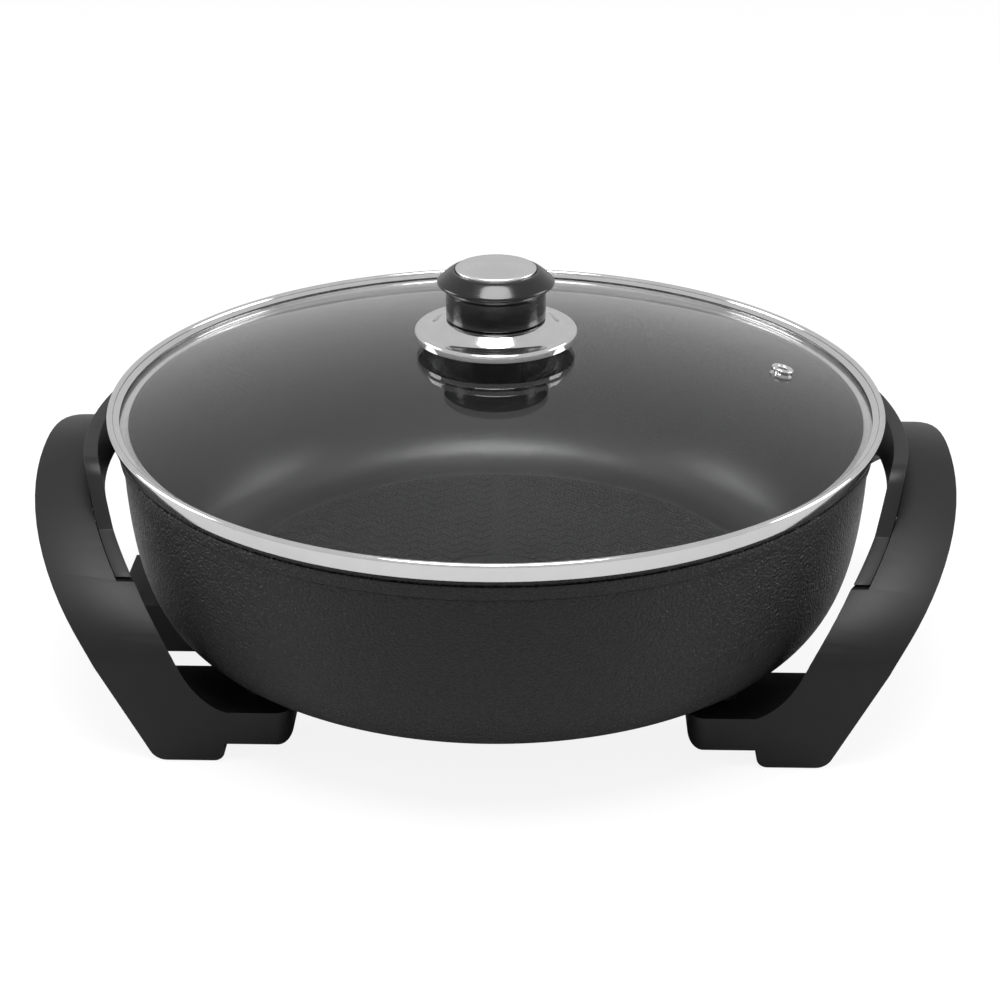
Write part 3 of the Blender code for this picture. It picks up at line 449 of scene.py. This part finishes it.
def glossy_phenolic():
    """Polished phenolic of the knob: smooth and glossy, with a trace of flow marks 6 mm across."""
    colour = colours().knob
    made, tree, shader = new_finish("glossy_phenolic", colour, 0.2, Coat_Weight=0.25, Coat_Roughness=0.08)
    place = object_place(tree)
    flow = grain(tree, place, 6.0 * mm, 2.0)
    bumped(tree, shader, grain(tree, place, 0.8 * mm), 0.01 * mm, 0.5)
    tinted(tree, shader, colour, flow, 0.85, 1.15)
    tree.links.new(between(tree, flow, 0.3, 0.7, 0.17, 0.24), shader.inputs["Roughness"])
    return made


def polished_steel():
    """Pressed and buffed stainless steel: a mirror whose buffing leaves hair lines 0.3 mm apart."""
    colour = colours().steel
    made, tree, shader = new_finish("polished_steel", colour, 0.1, 1.0)
    place = object_place(tree)
    squeezed = add(tree, "ShaderNodeMapping", [("Vector", place), ("Scale", (1.0, 1.0, 12.0))]).outputs[0]
    hairs = grain(tree, squeezed, 4.0 * mm, 3.0)
    haze = grain(tree, place, 9.0 * mm, 2.0)
    tree.links.new(between(tree, haze, 0.3, 0.7, 0.07, 0.14), shader.inputs["Roughness"])
    bumped(tree, shader, hairs, 0.006 * mm, 0.5)
    tinted(tree, shader, colour, haze, 0.96, 1.0)
    return made


def satin_steel():
    """The knob's cap: stainless steel brushed in circles, so its highlight spreads across the grain."""
    made, tree, shader = new_finish("satin_steel", colours().steel, 0.26, 1.0, Anisotropic=0.5)
    place = object_place(tree)
    parts = add(tree, "ShaderNodeSeparateXYZ", [(0, place)]).outputs
    flat = add(tree, "ShaderNodeCombineXYZ", [("X", parts["X"]), ("Y", parts["Y"])]).outputs[0]
    radius = add(tree, "ShaderNodeVectorMath", [(0, flat)], operation="LENGTH").outputs["Value"]
    line = add(tree, "ShaderNodeCombineXYZ", [("X", radius)]).outputs[0]
    rings = grain(tree, line, 0.25 * mm, 2.0)
    bumped(tree, shader, rings, 0.006 * mm, 0.6)
    tree.links.new(between(tree, rings, 0.3, 0.7, 0.2, 0.32), shader.inputs["Roughness"])
    tinted(tree, shader, colours().steel, rings, 0.9, 1.0)
    return made


def zinc_plate():
    """Zinc-plated steel of the screws, washers and tubes: grey, with spangles of about 2 mm."""
    colour = srgb("B4B6B8")
    made, tree, shader = new_finish("zinc_plate", colour, 0.35, 1.0)
    spangle = grain(tree, object_place(tree), 2.0 * mm, 3.0)
    tinted(tree, shader, colour, spangle, 0.8, 1.05)
    tree.links.new(between(tree, spangle, 0.3, 0.7, 0.28, 0.45), shader.inputs["Roughness"])
    return made


def turned_brass():
    """Brass insert in the knob, turned: grooves 0.2 mm apart round it."""
    colour = srgb("C6A45A")
    made, tree, shader = new_finish("turned_brass", colour, 0.3, 1.0)
    height = add(tree, "ShaderNodeSeparateXYZ", [(0, object_place(tree))]).outputs["Z"]
    lines = grain(tree, add(tree, "ShaderNodeCombineXYZ", [("Z", height)]).outputs[0], 0.2 * mm)
    bumped(tree, shader, lines, 0.02 * mm, 0.7)
    tinted(tree, shader, colour, lines, 0.85, 1.05)
    return made


def white_ceramic():
    """Unglazed ceramic rings round the element's pins: chalky, with pores of half a millimetre."""
    colour = srgb("E6E1D6")
    made, tree, shader = new_finish("white_ceramic", colour, 0.7)
    pores = grain(tree, object_place(tree), 0.5 * mm, 3.0)
    bumped(tree, shader, pores, 0.05 * mm, 0.7)
    tinted(tree, shader, colour, pores, 0.88, 1.0)
    return made


def soft_rubber():
    """Rubber of the foot pads and gaskets: dull, with a grain of 0.4 mm."""
    colour = srgb("1B1B1C")
    made, tree, shader = new_finish("soft_rubber", colour, 0.75)
    skin = grain(tree, object_place(tree), 0.4 * mm, 3.0)
    bumped(tree, shader, skin, 0.05 * mm, 0.8)
    tinted(tree, shader, colour, skin, 0.8, 1.2)
    return made


def clear_glass():
    """Clear tempered glass. Rays on their way to a lamp pass it, so that the pan inside is lit.

    Tempering leaves slow waves in the face, 40 mm long, that bend the mirror images a little.
    """
    made, tree, shader = new_finish("tempered_glass", (1.0, 1.0, 1.0), 0.0, 0.0, Transmission_Weight=1.0, IOR=1.3)
    waves = grain(tree, object_place(tree), 40.0 * mm, 1.0)
    bumped(tree, shader, waves, 0.02 * mm, 0.5)
    ray = add(tree, "ShaderNodeLightPath")
    open_way = add(tree, "ShaderNodeBsdfTransparent", [("Color", (0.95, 0.96, 0.955, 1.0))])
    mixed = add(tree, "ShaderNodeMixShader", [(0, ray.outputs["Is Shadow Ray"]), (1, shader.outputs["BSDF"]),
                                              (2, open_way.outputs["BSDF"])])
    tree.links.new(mixed.outputs["Shader"], tree.nodes["Material Output"].inputs["Surface"])
    return made


finishes = {}


def finish(maker):
    """Each material is made once, when its first piece asks for it."""
    if maker.__name__ not in finishes:
        finishes[maker.__name__] = maker()
    return finishes[maker.__name__]


# The pan

pan_top = high("pan_body")[2]
base_height = pan_top - 104.4 * mm
floor_height = base_height + 11.8 * mm
bracket_top = base_height + 5.2 * mm
boss_spots = [(side * 104.4 * mm, end * 92.7 * mm) for side in (1, -1) for end in (1, -1)]
outer_wall_shares = ((0, 0), (0.442, 0.071), (0.990, 0.047), (1, 1))
inner_wall_shares = ((0, 0), (0.420, 0), (0.990, 0.075), (1, 1))


def pan_outside():
    """From the base's centre out, up the wall, over the rim and back to the axis along the lip."""
    lip = sizes().lip_height
    rim = sizes().pan_radius
    edge = (134.1 * mm, base_height + 8.2 * mm)
    wall_top = (173.9 * mm, lip - 10.2 * mm)
    outline = [(0, base_height), (111.0 * mm, base_height)]
    outline += bezier(spread(outer_wall_shares, edge, wall_top), 28)
    outline += [(rim - 0.9 * mm, lip - 8.6 * mm), (rim - 0.1 * mm, lip - 3.4 * mm), (rim - 0.3 * mm, lip - 2.7 * mm),
                (rim - 1.1 * mm, lip - 2.5 * mm), (rim - 1.1 * mm, lip - 1.9 * mm), (rim - 0.2 * mm, lip - 1.5 * mm),
                (rim, lip - 1.1 * mm), (rim, lip - 0.3 * mm), (rim - 0.3 * mm, lip)]
    return outline + [(0, lip)]


def pan_inside():
    """The hollow: from above the mouth down the wall to the floor's ring groove and its centre."""
    lip = sizes().lip_height
    mouth = 171.4 * mm
    outline = [(0, lip + mm), (mouth + 1.5 * mm, lip + mm), (mouth, lip - 0.5 * mm), (mouth, lip - 4.2 * mm)]
    wall = bezier(spread(inner_wall_shares, (134.6 * mm, floor_height), (170.3 * mm, lip - 8.4 * mm)), 28)
    groove = 130.9 * mm
    return outline + wall[::-1] + [(groove + 0.8 * mm, floor_height), (groove, floor_height - 0.4 * mm),
                                   (groove - 0.8 * mm, floor_height), (0, floor_height)]


def element_groove():
    """The groove under the base for the heating element: an open ring with two straight ends."""
    ring, spacing, bend, end = 80.0 * mm, 10.5 * mm, 12.0 * mm, 150.0 * mm
    half = 3.75 * mm + fit_gap
    bend_y = spacing + bend
    bend_x = -math.sqrt((ring + bend) ** 2 - bend_y ** 2)
    meeting = math.degrees(math.atan2(bend_y, -bend_x))
    upper = [(-end, spacing)] + arc((bend_x, bend_y), bend, bend, -90, -meeting, 5)
    path = upper + arc((0, 0), ring, ring, 180 - meeting, meeting - 180, 60)[1:-1]
    path += [(x, -y) for x, y in reversed(upper)]
    left, right = [], []
    for index, point in enumerate(path):
        way = (Vector(path[min(index + 1, len(path) - 1)]) - Vector(path[max(index - 1, 0)])).normalized()
        aside = Vector((-way.y, way.x)) * half
        left.append(tuple(Vector(point) + aside))
        right.append(tuple(Vector(point) - aside))
    depth = base_height + 4.2 * mm + half
    return slab("element_groove", left + right[::-1], "Z", base_height - 2 * mm, depth)


class SKILLET_OT_pan(bpy.types.Operator):
    """Turns the pan's smooth body, stands it on its bosses, grooves its base and coats it"""
    bl_idname = "skillet.pan"
    bl_label = "Pan"

    def execute(self, context):
        pan = turn("pan", pan_outside())
        boss_low = bracket_top + fit_gap
        for spot in boss_spots:
            carve(pan, "UNION", peg("boss", 6.0 * mm, "Z", spot, boss_low, boss_low + 11.8 * mm))
        carve(pan, "DIFFERENCE", turn("hollow", pan_inside()))
        half = 4.8 * mm
        slot = slab("sleeve_slot", [(-150 * mm, -half), (-59.7 * mm, -half), (-59.7 * mm, half), (-150 * mm, half)],
                    "Z", base_height - 2 * mm, base_height + 4.2 * mm + half)
        holes = [peg("boss_hole", 2.3 * mm, "Z", spot, boss_low - mm, boss_low + 3.3 * mm) for spot in boss_spots]
        holes += [peg("socket_hole", 1.8 * mm, "Z", (-104.0 * mm, y), base_height - mm, base_height + 6.3 * mm)
                  for y in (19.5 * mm, -19.5 * mm)]
        carve(pan, "DIFFERENCE", element_groove(), slot, *holes)
        dress(pan, "pan_body", "base", finish(non_stick_coating))
        return {"FINISHED"}


# The lid

def glass_height(radius):
    rise = 28 * mm
    edge = 175.4 * mm
    sphere = (edge ** 2 + rise ** 2) / (2 * rise)
    crown = high("lid_rim")[2] - 3.7 * mm + rise
    return crown - sphere + math.sqrt(sphere ** 2 - radius ** 2)


def vent_frame():
    """Place and tilt of the steam vent: its own upright axis is square to the glass."""
    rise, edge, distance = 28 * mm, 175.4 * mm, 134.6 * mm
    sphere = (edge ** 2 + rise ** 2) / (2 * rise)
    outward = Matrix.Translation((distance, 0, glass_height(distance)))
    tilt = Matrix.Rotation(math.asin(distance / sphere), 4, "Y")
    return Matrix.Rotation(math.radians(4.0), 4, "Z") @ outward @ tilt


class SKILLET_OT_lid_glass(bpy.types.Operator):
    """Turns the lid's domed glass"""
    bl_idname = "skillet.lid_glass"
    bl_label = "Lid glass"

    def execute(self, context):
        rings = 24
        hole = 4.2 * mm
        edge = 175.4 * mm
        radii = [edge + (hole - edge) * step / rings for step in range(rings + 1)]
        upper = [(radius, glass_height(radius)) for radius in radii]
        lower = [(radius, height - sizes().glass_thickness) for radius, height in reversed(upper)]
        glass = turn("lid_pane", upper + lower)
        hole_tool = peg("vent_hole", 3.7 * mm, "Z", (0, 0), -8 * mm, 8 * mm)
        hole_tool.matrix_world = vent_frame()
        carve(glass, "DIFFERENCE", hole_tool)
        dress(glass, "lid_glass", "lid", finish(clear_glass))
        return {"FINISHED"}


class SKILLET_OT_lid_rim(bpy.types.Operator):
    """Turns the steel rim that is crimped round the glass"""
    bl_idname = "skillet.lid_rim"
    bl_label = "Lid rim"

    def execute(self, context):
        outer = sizes().lid_radius
        top = high("lid_rim")[2]
        bottom = sizes().lip_height + fit_gap
        bead = 1.5 * mm
        foot = 0.7 * mm
        outline = arc((outer - 2.4 * mm - foot, bottom + foot), foot, foot, -90, 0, 5)
        outline += arc((outer - bead, top - bead), bead, bead, 0, 180, 12)
        crimp = outer - 5.6 * mm
        crimp_low = glass_height(crimp) + fit_gap
        pocket = outer - 4.3 * mm
        sheet = 1.0 * mm
        skirt = 170.6 * mm
        outline += [(crimp, crimp_low + 0.4 * mm), (crimp, crimp_low), (pocket, crimp_low),
                    (pocket, bottom + sheet), (skirt, bottom + sheet), (skirt - 0.7 * mm, bottom + 0.7 * mm),
                    (skirt - sheet, bottom), (skirt - sheet, bottom - 1.8 * mm), (skirt, bottom - 1.8 * mm),
                    (skirt, bottom)]
        rim = turn("rim_ring", outline)
        dress(rim, "lid_rim", "lid", finish(polished_steel))
        return {"FINISHED"}


class SKILLET_OT_vent(bpy.types.Operator):
    """Turns the chrome eyelet and sets it in the glass"""
    bl_idname = "skillet.vent"
    bl_label = "Steam vent"

    def execute(self, context):
        bore, tube, flange, height = 2.4 * mm, 3.4 * mm, 5.3 * mm, 1.3 * mm
        low_end = -5.4 * mm - 0.1 * mm
        outline = [(bore, low_end), (tube, low_end), (tube, fit_gap)]
        outline += arc((flange - 0.4 * mm, fit_gap + 0.4 * mm), 0.4 * mm, 0.4 * mm, -90, 0, 4)
        outline += arc((flange - 1.2 * mm, fit_gap + height - 0.7 * mm), 1.2 * mm, 0.7 * mm, 10, 90, 6)
        outline += arc((tube, fit_gap + height - 0.9 * mm), tube - bore, 0.9 * mm, 90, 180, 6)
        eyelet = turn("eyelet", outline, small_steps * 2)
        eyelet.matrix_world = vent_frame()
        select_only(eyelet)
        bpy.ops.object.transform_apply()
        dress(eyelet, "vent_eyelet", "lid", finish(polished_steel))
        return {"FINISHED"}


# The knob

class SKILLET_OT_knob(bpy.types.Operator):
    """Turns the knob, its steel cap and the stamped disc under it"""
    bl_idname = "skillet.knob"
    bl_label = "Knob"

    def execute(self, context):
        collar_low = low("knob_body")[2]
        collar, widest, seat = 23.0 * mm, high("knob_body")[0], 18.9 * mm
        collar_top = collar_low + 13.4 * mm
        flange = collar_top + 3.5 * mm
        cone_top = flange + 5.7 * mm
        hole, hole_top = 3.9 * mm, collar_low + 15.1 * mm
        outline = [(hole, collar_low)] + arc((collar - 0.8 * mm, collar_low + 0.8 * mm), 0.8 * mm, 0.8 * mm, -90, 0, 5)
        outline += [(collar, collar_top - 1.2 * mm)]
        outline += bezier(((collar, collar_top), (collar + 0.4 * mm, collar_top + 1.4 * mm),
                           (collar + 1.6 * mm, flange - 1.2 * mm), (widest - 0.9 * mm, flange - 0.9 * mm)), 6)
        outline += arc((widest - 0.9 * mm, flange), 0.9 * mm, 0.9 * mm, -80, 35, 8)
        outline += bezier(((widest - 0.5 * mm, flange + 0.9 * mm), (widest - 3.0 * mm, flange + 3.0 * mm),
                           (seat + 2.2 * mm, cone_top), (seat + 0.9 * mm, cone_top)), 8)
        outline += arc((seat + 0.4 * mm, cone_top - 0.4 * mm), 0.4 * mm, 0.4 * mm, 90, 180, 4)
        outline += [(seat, cone_top - 1.7 * mm), (0, cone_top - 1.7 * mm), (0, hole_top), (hole, hole_top)]
        knob = turn("knob", outline, knob_steps)
        dress(knob, "knob_body", "lid", finish(glossy_phenolic))

        low_end, top, radius, sheet = low("knob_cap")[2], high("knob_cap")[2], high("knob_cap")[0], 1.0 * mm
        edge = low_end + 1.9 * mm
        dome = arc((0, edge), radius, top - edge, 0, 90, 16)[:-1] + [(0, top)]
        inner = [(x * (radius - sheet) / radius, z - sheet) for x, z in reversed(dome)]
        cap = turn("cap", [(radius, low_end)] + dome + inner + [(radius - sheet, low_end)], knob_steps)
        dress(cap, "knob_cap", "lid", finish(satin_steel))

        self.disc()
        return {"FINISHED"}

    def disc(self):
        """Flat hub, sloping shoulder, flat brim and rolled edge, all of one sheet."""
        top, bottom, radius, sheet = high("knob_base_disc")[2], low("knob_base_disc")[2], high("knob_base_disc")[0], 1.0 * mm
        hub, bore = 23.6 * mm, 2.9 * mm
        brim = radius - 4 * sheet
        brim_high = top - 8.9 * mm * 0.6
        shoulder = bezier(((hub, top), (hub + 3 * sheet, top), (brim - 5 * sheet, brim_high), (brim, brim_high)), 16)
        edge = arc((radius - 1.5 * sheet, brim_high - 1.1 * sheet), 1.5 * sheet, 1.5 * sheet, 90, 0, 10)
        upper = shoulder + edge + [(radius, bottom + 0.3 * mm), (radius - 0.3 * mm, bottom)]
        lower = [(radius - sheet, bottom), (radius - sheet, brim_high - sheet)]
        lower += [(x, z - sheet) for x, z in reversed(shoulder)]
        disc = turn("disc", [(bore, top)] + upper + lower + [(bore, top - sheet)], knob_steps)
        dress(disc, "knob_base_disc", "lid", finish(polished_steel))


# The handles

half_length = high("right_handle_shell")[1]
grip_outer = high("right_handle_shell")[0]
grip_top = high("right_handle_shell")[2]
foot_low = low("right_handle_shell")[2]
shoulder_height = grip_top - 62.0 * mm
waist = grip_outer - 37.7 * mm
waist_height = 50.0 * mm
foot_outer = waist - 25.3 * mm
foot_inner = foot_outer - 31.1 * mm
bracket_tip = foot_outer - 61.7 * mm
bracket_low = 9.3 * mm
liner_inner = 185.0 * mm
liner_outer = 191.5 * mm
liner_low = 78.1 * mm
liner_top = grip_top + 7.9 * mm
liner_draft = 3.3 * mm
outer_edge_shares = ((0, 0), (0.118, 0.198), (1, 0.731), (1, 1))
arch_shares = ((0, 0), (0.004, 0.436), (0.634, 1), (1, 1))
opening_shares = ((0, 0), (0, 0.640), (0.361, 1), (1, 1))
crook_shares = ((0, 0), (0.487, 0.087), (1, 0.430), (1, 1))
foot_steps = 8


def outer_edge():
    """The leg's outer edge in X and Z: rounded foot, straight leg, then the grip's bulge."""
    foot = rounded([(foot_inner, foot_low, 0), (foot_outer, foot_low, 8.0 * mm), (waist, waist_height, 0)],
                   foot_steps)
    return foot[1:-1] + bezier(spread(outer_edge_shares, (waist, waist_height), (grip_outer, grip_top)), 24)


def edge_distance(height, shift):
    """Distance of the outer edge from the axis at a height, moved in by shift."""
    edge = outer_edge()
    for (x, z), (next_x, next_z) in zip(edge, edge[1:]):
        if height <= next_z:
            break
    share = max(0, min(1, (height - z) / (next_z - z)))
    return x + (next_x - x) * share - shift


def arch_line(inset, steps=arch_steps):
    """The arch's outer line in Y and Z, from the shoulder to the crown, moved into the wall by inset."""
    line = bezier(spread(arch_shares, (half_length, shoulder_height), (0, grip_top)), steps)
    return [(y - inset, z - inset) for y, z in line]


def handle_sections(inset, foot_levels):
    """Cross-sections of the handle from the front foot over the crown to the rear foot."""
    side = 72.0 * mm + inset
    opening = bezier(spread(opening_shares, (side, 42.0 * mm + inset), (0, 92.0 * mm + inset)), arch_steps)
    rise = shoulder_height - foot_levels[-1]
    levels = foot_levels + [foot_levels[-1] + rise * share for share in (0.25, 0.5, 0.75)]
    lines = [((half_length - inset, z), (side, z)) for z in levels] + list(zip(arch_line(inset), opening))
    shift = inset * math.sqrt(2)
    near = bracket_tip - 4 * mm
    half = []
    for outside, under in lines:
        section = [(near, *outside)]
        for share in (0, 0.25, 0.5, 0.75, 1):
            y, z = (outside[k] + (under[k] - outside[k]) * share for k in (0, 1))
            section.append((edge_distance(z, shift), y, z))
        half.append(section + [(near, *under)])
    half[-1] = [(x, 0, z) for x, y, z in half[-1]]
    return half + [[(x, -y, z) for x, y, z in section] for section in reversed(half[:-1])]


def lean(height):
    """How far the liner's two faces lean towards the pan at a height."""
    return liner_draft * (liner_top - height) / (liner_top - liner_low)


def inner_form():
    """Round tool that shapes the handle towards the pan: crook, leg and the liner's seat."""
    seat, above = liner_outer + fit_gap, grip_top + 4 * mm
    crook = bezier(spread(crook_shares, (162.8 * mm, bracket_top), (liner_inner - liner_draft, liner_low)), 20)
    return turn("inner_form", [(0, bracket_top)] + crook + [(seat - liner_draft, liner_low),
                                                            (seat - lean(above), above), (0, above)])


def pan_trim():
    """The pan's own outside, 1 mm larger, so that the bracket clears the base."""
    clear = mm
    edge = (134.1 * mm + clear, base_height + 8.2 * mm - clear)
    top = (173.9 * mm + clear, pan_top - 10.2 * mm)
    wall = bezier(spread(outer_wall_shares, edge, top), 12)
    above = pan_top + 2 * mm
    return turn("pan_trim", [(0, base_height - clear), (112.0 * mm, base_height - clear)] + wall
                + [(top[0], above), (0, above)], 96)


class SKILLET_OT_handles(bpy.types.Operator):
    """Lofts one handle, hollows and trims it, bends its liner, and copies both to the other side"""
    bl_idname = "skillet.handles"
    bl_label = "Handles"

    def execute(self, context):
        shell = loft("right_shell", handle_sections(0.0, [z for x, z in outer_edge()[:foot_steps + 1]]))
        far, above = grip_outer + 2 * mm, grip_top + 2 * mm
        front = rounded([(foot_inner, foot_low, 5.0 * mm), (far, foot_low, 0), (far, above, 0), (bracket_tip, above, 0),
                         (bracket_tip, bracket_low, 6.0 * mm), (foot_inner, bracket_low, 0)])
        wide = half_length + 2 * mm
        plan = rounded([(far, -wide, 0), (far, wide, 0), (bracket_tip, half_length, 8.0 * mm),
                        (bracket_tip, -half_length, 8.0 * mm)])
        carve(shell, "INTERSECT", slab("front_form", front, "Y", -wide, wide),
              slab("plan_form", plan, "Z", -2 * mm, above))
        hollow = loft("hollow", handle_sections(3.0 * mm, [bracket_top + 3.6 * mm]))
        carve(shell, "DIFFERENCE", inner_form(), hollow, pan_trim())
        round_edges(shell, sizes().edge_round)
        for end in (1, -1):
            spot = (end * 52.0 * mm, 94.0 * mm)
            carve(shell, "UNION", peg("liner_boss", 3.6 * mm, "X", spot, 184.2 * mm, 197.8 * mm))
            carve(shell, "DIFFERENCE", peg("screw_hole", 1.8 * mm, "X", spot, 180.0 * mm, 193.5 * mm))
            spot = (104.4 * mm, end * 92.7 * mm)
            carve(shell, "DIFFERENCE", peg("mount_hole", 2.3 * mm, "Z", spot, 0.0, bracket_top + 2 * mm),
                  peg("counterbore", 4.8 * mm, "Z", spot, 0.0, bracket_low + 9.5 * mm),
                  pad_recess(end))
        dress(shell, "right_handle_shell", "base", finish(moulded_phenolic))
        self.copy_left(shell, "left_handle_shell")

        liner = self.liner()
        dress(liner, "right_handle_liner", "base", finish(moulded_phenolic))
        self.copy_left(liner, "left_handle_liner")
        return {"FINISHED"}

    def liner(self):
        """Band that follows the pan's rim, cut to its side outline and rounded."""
        foot = liner_low - 2 * mm
        band = turn("right_liner", [(liner_inner - lean(foot), foot), (liner_outer - lean(foot), foot),
                                    (liner_outer - lean(pan_top), pan_top), (liner_inner - lean(pan_top), pan_top)])
        low_end = liner_low + fit_gap
        flush = [(y, z, 0) for y, z in arch_line(fit_gap, 48) if y > 63.0 * mm and z > low_end]
        half = [(83.0 * mm, low_end, 0)] + flush + [(50.0 * mm, liner_top, 12.0 * mm)]
        under = [(36.0 * mm, 98.0 * mm, 12.0 * mm), (66.0 * mm, low_end, 0)]
        far_half = [(-y, z, radius) for y, z, radius in reversed(half)]
        far_under = [(-y, z, radius) for y, z, radius in reversed(under)]
        outline = rounded(half + far_half + far_under + under, 12)
        carve(band, "INTERSECT", slab("liner_form", outline, "X", 80 * mm, 200 * mm))
        round_edges(band, 0.9 * mm)
        for end in (1, -1):
            spot = (end * 52.0 * mm, 94.0 * mm)
            carve(band, "DIFFERENCE", peg("sink", 3.3 * mm, "X", spot, 165.0 * mm, 177.5 * mm),
                  peg("through", 1.8 * mm, "X", spot, 165.0 * mm, 195.0 * mm))
        return band

    def copy_left(self, piece, node):
        select_only(piece)
        bpy.ops.object.duplicate()
        twin = bpy.context.object
        twin.name = node + "_dressed"
        twin.rotation_euler = (0, 0, math.pi)
        bpy.ops.object.transform_apply()
        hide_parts(node)
        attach(twin, "base")


def pad_recess(end):
    across, along, corner = 9.3 * mm, 14.3 * mm, 4.3 * mm
    x, y = foot_outer - 15.55 * mm, end * 92.7 * mm
    outline = []
    for start, way_x, way_y in ((0, 1, 1), (90, -1, 1), (180, -1, -1), (270, 1, -1)):
        centre = (x + way_x * (across - corner), y + way_y * (along - corner))
        outline += arc(centre, corner, corner, start, start + 90, 5)
    return slab("pad_recess", outline, "Z", -mm, 2.7 * mm)


class SKILLET_OT_plain_parts(bpy.types.Operator):
    """Finishes the solids that keep their own shape"""
    bl_idname = "skillet.plain_parts"
    bl_label = "Plain parts"

    def execute(self, context):
        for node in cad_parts:
            maker = zinc_plate
            if "handle" in node or node in ("socket_housing", "knob_spacer"):
                maker = moulded_phenolic
            elif "pad" in node or "gasket" in node:
                maker = soft_rubber
            elif "insulator" in node:
                maker = white_ceramic
            elif node == "knob_insert":
                maker = turned_brass
            elif node == "vent_washer":
                maker = polished_steel
            paint(node, finish(maker))
        return {"FINISHED"}


# The stage

class SKILLET_OT_stage(bpy.types.Operator):
    """Sets the floor, the soft lamps, the background and the camera"""
    bl_idname = "skillet.stage"
    bl_label = "Stage"

    def execute(self, context):
        scene = context.scene
        bpy.ops.object.select_all(action="DESELECT")
        bpy.ops.mesh.primitive_plane_add(size=12.0, location=(0, 0, 0))
        ground = context.object
        ground.name = "floor"
        made, tree, shader = new_finish("studio_floor", colours().floor, 0.8)
        ray = add(tree, "ShaderNodeLightPath")
        seen = add(tree, "ShaderNodeMath", [(0, ray.outputs["Is Camera Ray"]), (1, 0.72)], operation="MULTIPLY")
        glow = add(tree, "ShaderNodeEmission", [("Color", (1, 1, 1, 1)), ("Strength", 1.22)])
        mixed = add(tree, "ShaderNodeMixShader", [(0, seen.outputs[0]), (1, shader.outputs["BSDF"]),
                                                  (2, glow.outputs["Emission"])])
        tree.links.new(mixed.outputs["Shader"], tree.nodes["Material Output"].inputs["Surface"])
        ground.data.materials.append(made)

        lamp(context, "overhead_softbox", (0.0, -0.35, 1.6), (0, 0, 0.1), 1.0, 22.0)
        lamp(context, "left_softbox", (-1.7, 0.3, 0.8), (0, 0, 0.1), 1.0, 12.0)
        lamp(context, "right_softbox", (1.7, 0.3, 0.8), (0, 0, 0.1), 1.0, 12.0)

        world = bpy.data.worlds.new("studio")
        scene.world = world
        world.use_nodes = True
        tree = world.node_tree
        back = tree.nodes["Background"]
        back.inputs["Color"].default_value = (0.36, 0.36, 0.36, 1.0)
        ray = add(tree, "ShaderNodeLightPath")
        mirrored = add(tree, "ShaderNodeMapRange", [("Value", ray.outputs["Is Glossy Ray"]), ("To Min", 1.0),
                                                    ("To Max", 1.7)])
        tree.links.new(mirrored.outputs["Result"], back.inputs["Strength"])
        white = add(tree, "ShaderNodeBackground", [("Color", (1, 1, 1, 1)), ("Strength", 1.0)])
        mixed = add(tree, "ShaderNodeMixShader", [(0, ray.outputs["Is Camera Ray"]), (1, back.outputs[0]),
                                                  (2, white.outputs[0])])
        tree.links.new(mixed.outputs["Shader"], tree.nodes["World Output"].inputs["Surface"])

        bpy.ops.object.camera_add(location=(0.0209, -0.8814, 0.4913))
        camera = context.object
        camera.name = "camera"
        camera.data.lens = 72.97
        camera.data.sensor_width = 36.0
        camera.data.shift_x = 0.0041
        look = Vector((0, 0, 0.0774)) - camera.location
        camera.rotation_euler = look.to_track_quat("-Z", "Y").to_euler()
        scene.camera = camera
        scene.view_settings.view_transform = "Standard"
        return {"FINISHED"}


def lamp(context, name, place, target, size, power):
    bpy.ops.object.light_add(type="AREA", location=place)
    made = context.object
    made.name = name
    made.data.shape = "DISK"
    made.data.size = size
    made.data.energy = power
    look = Vector(target) - Vector(place)
    made.rotation_euler = look.to_track_quat("-Z", "Y").to_euler()


operators = (SKILLET_OT_stage, SKILLET_OT_plain_parts, SKILLET_OT_pan, SKILLET_OT_lid_glass, SKILLET_OT_lid_rim,
             SKILLET_OT_vent, SKILLET_OT_knob, SKILLET_OT_handles)


class SKILLET_PT_panel(bpy.types.Panel):
    bl_idname = "SKILLET_PT_panel"
    bl_label = "Electric Skillet"
    bl_space_type = "VIEW_3D"
    bl_region_type = "UI"
    bl_category = "Skillet"

    def draw(self, context):
        for field in ("pan_radius", "lip_height", "lid_radius", "glass_thickness", "hammer_pitch",
                      "edge_round"):
            self.layout.prop(context.scene.skillet_sizes, field)
        for field in ("coating", "phenolic", "knob", "steel", "floor"):
            self.layout.prop(context.scene.skillet_colours, field)
        for tool in operators:
            self.layout.operator(tool.bl_idname)


classes = (SkilletSizes, SkilletColours) + operators + (SKILLET_PT_panel,)


def register():
    for each in classes:
        bpy.utils.register_class(each)
    bpy.types.Scene.skillet_sizes = PointerProperty(type=SkilletSizes)
    bpy.types.Scene.skillet_colours = PointerProperty(type=SkilletColours)


def unregister():
    del bpy.types.Scene.skillet_colours
    del bpy.types.Scene.skillet_sizes
    for each in reversed(classes):
        bpy.utils.unregister_class(each)


def main():
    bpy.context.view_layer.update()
    register()
    for tool in operators:
        group, name = tool.bl_idname.split(".")
        getattr(getattr(bpy.ops, group), name)()


if __name__ == "__main__":
    main()
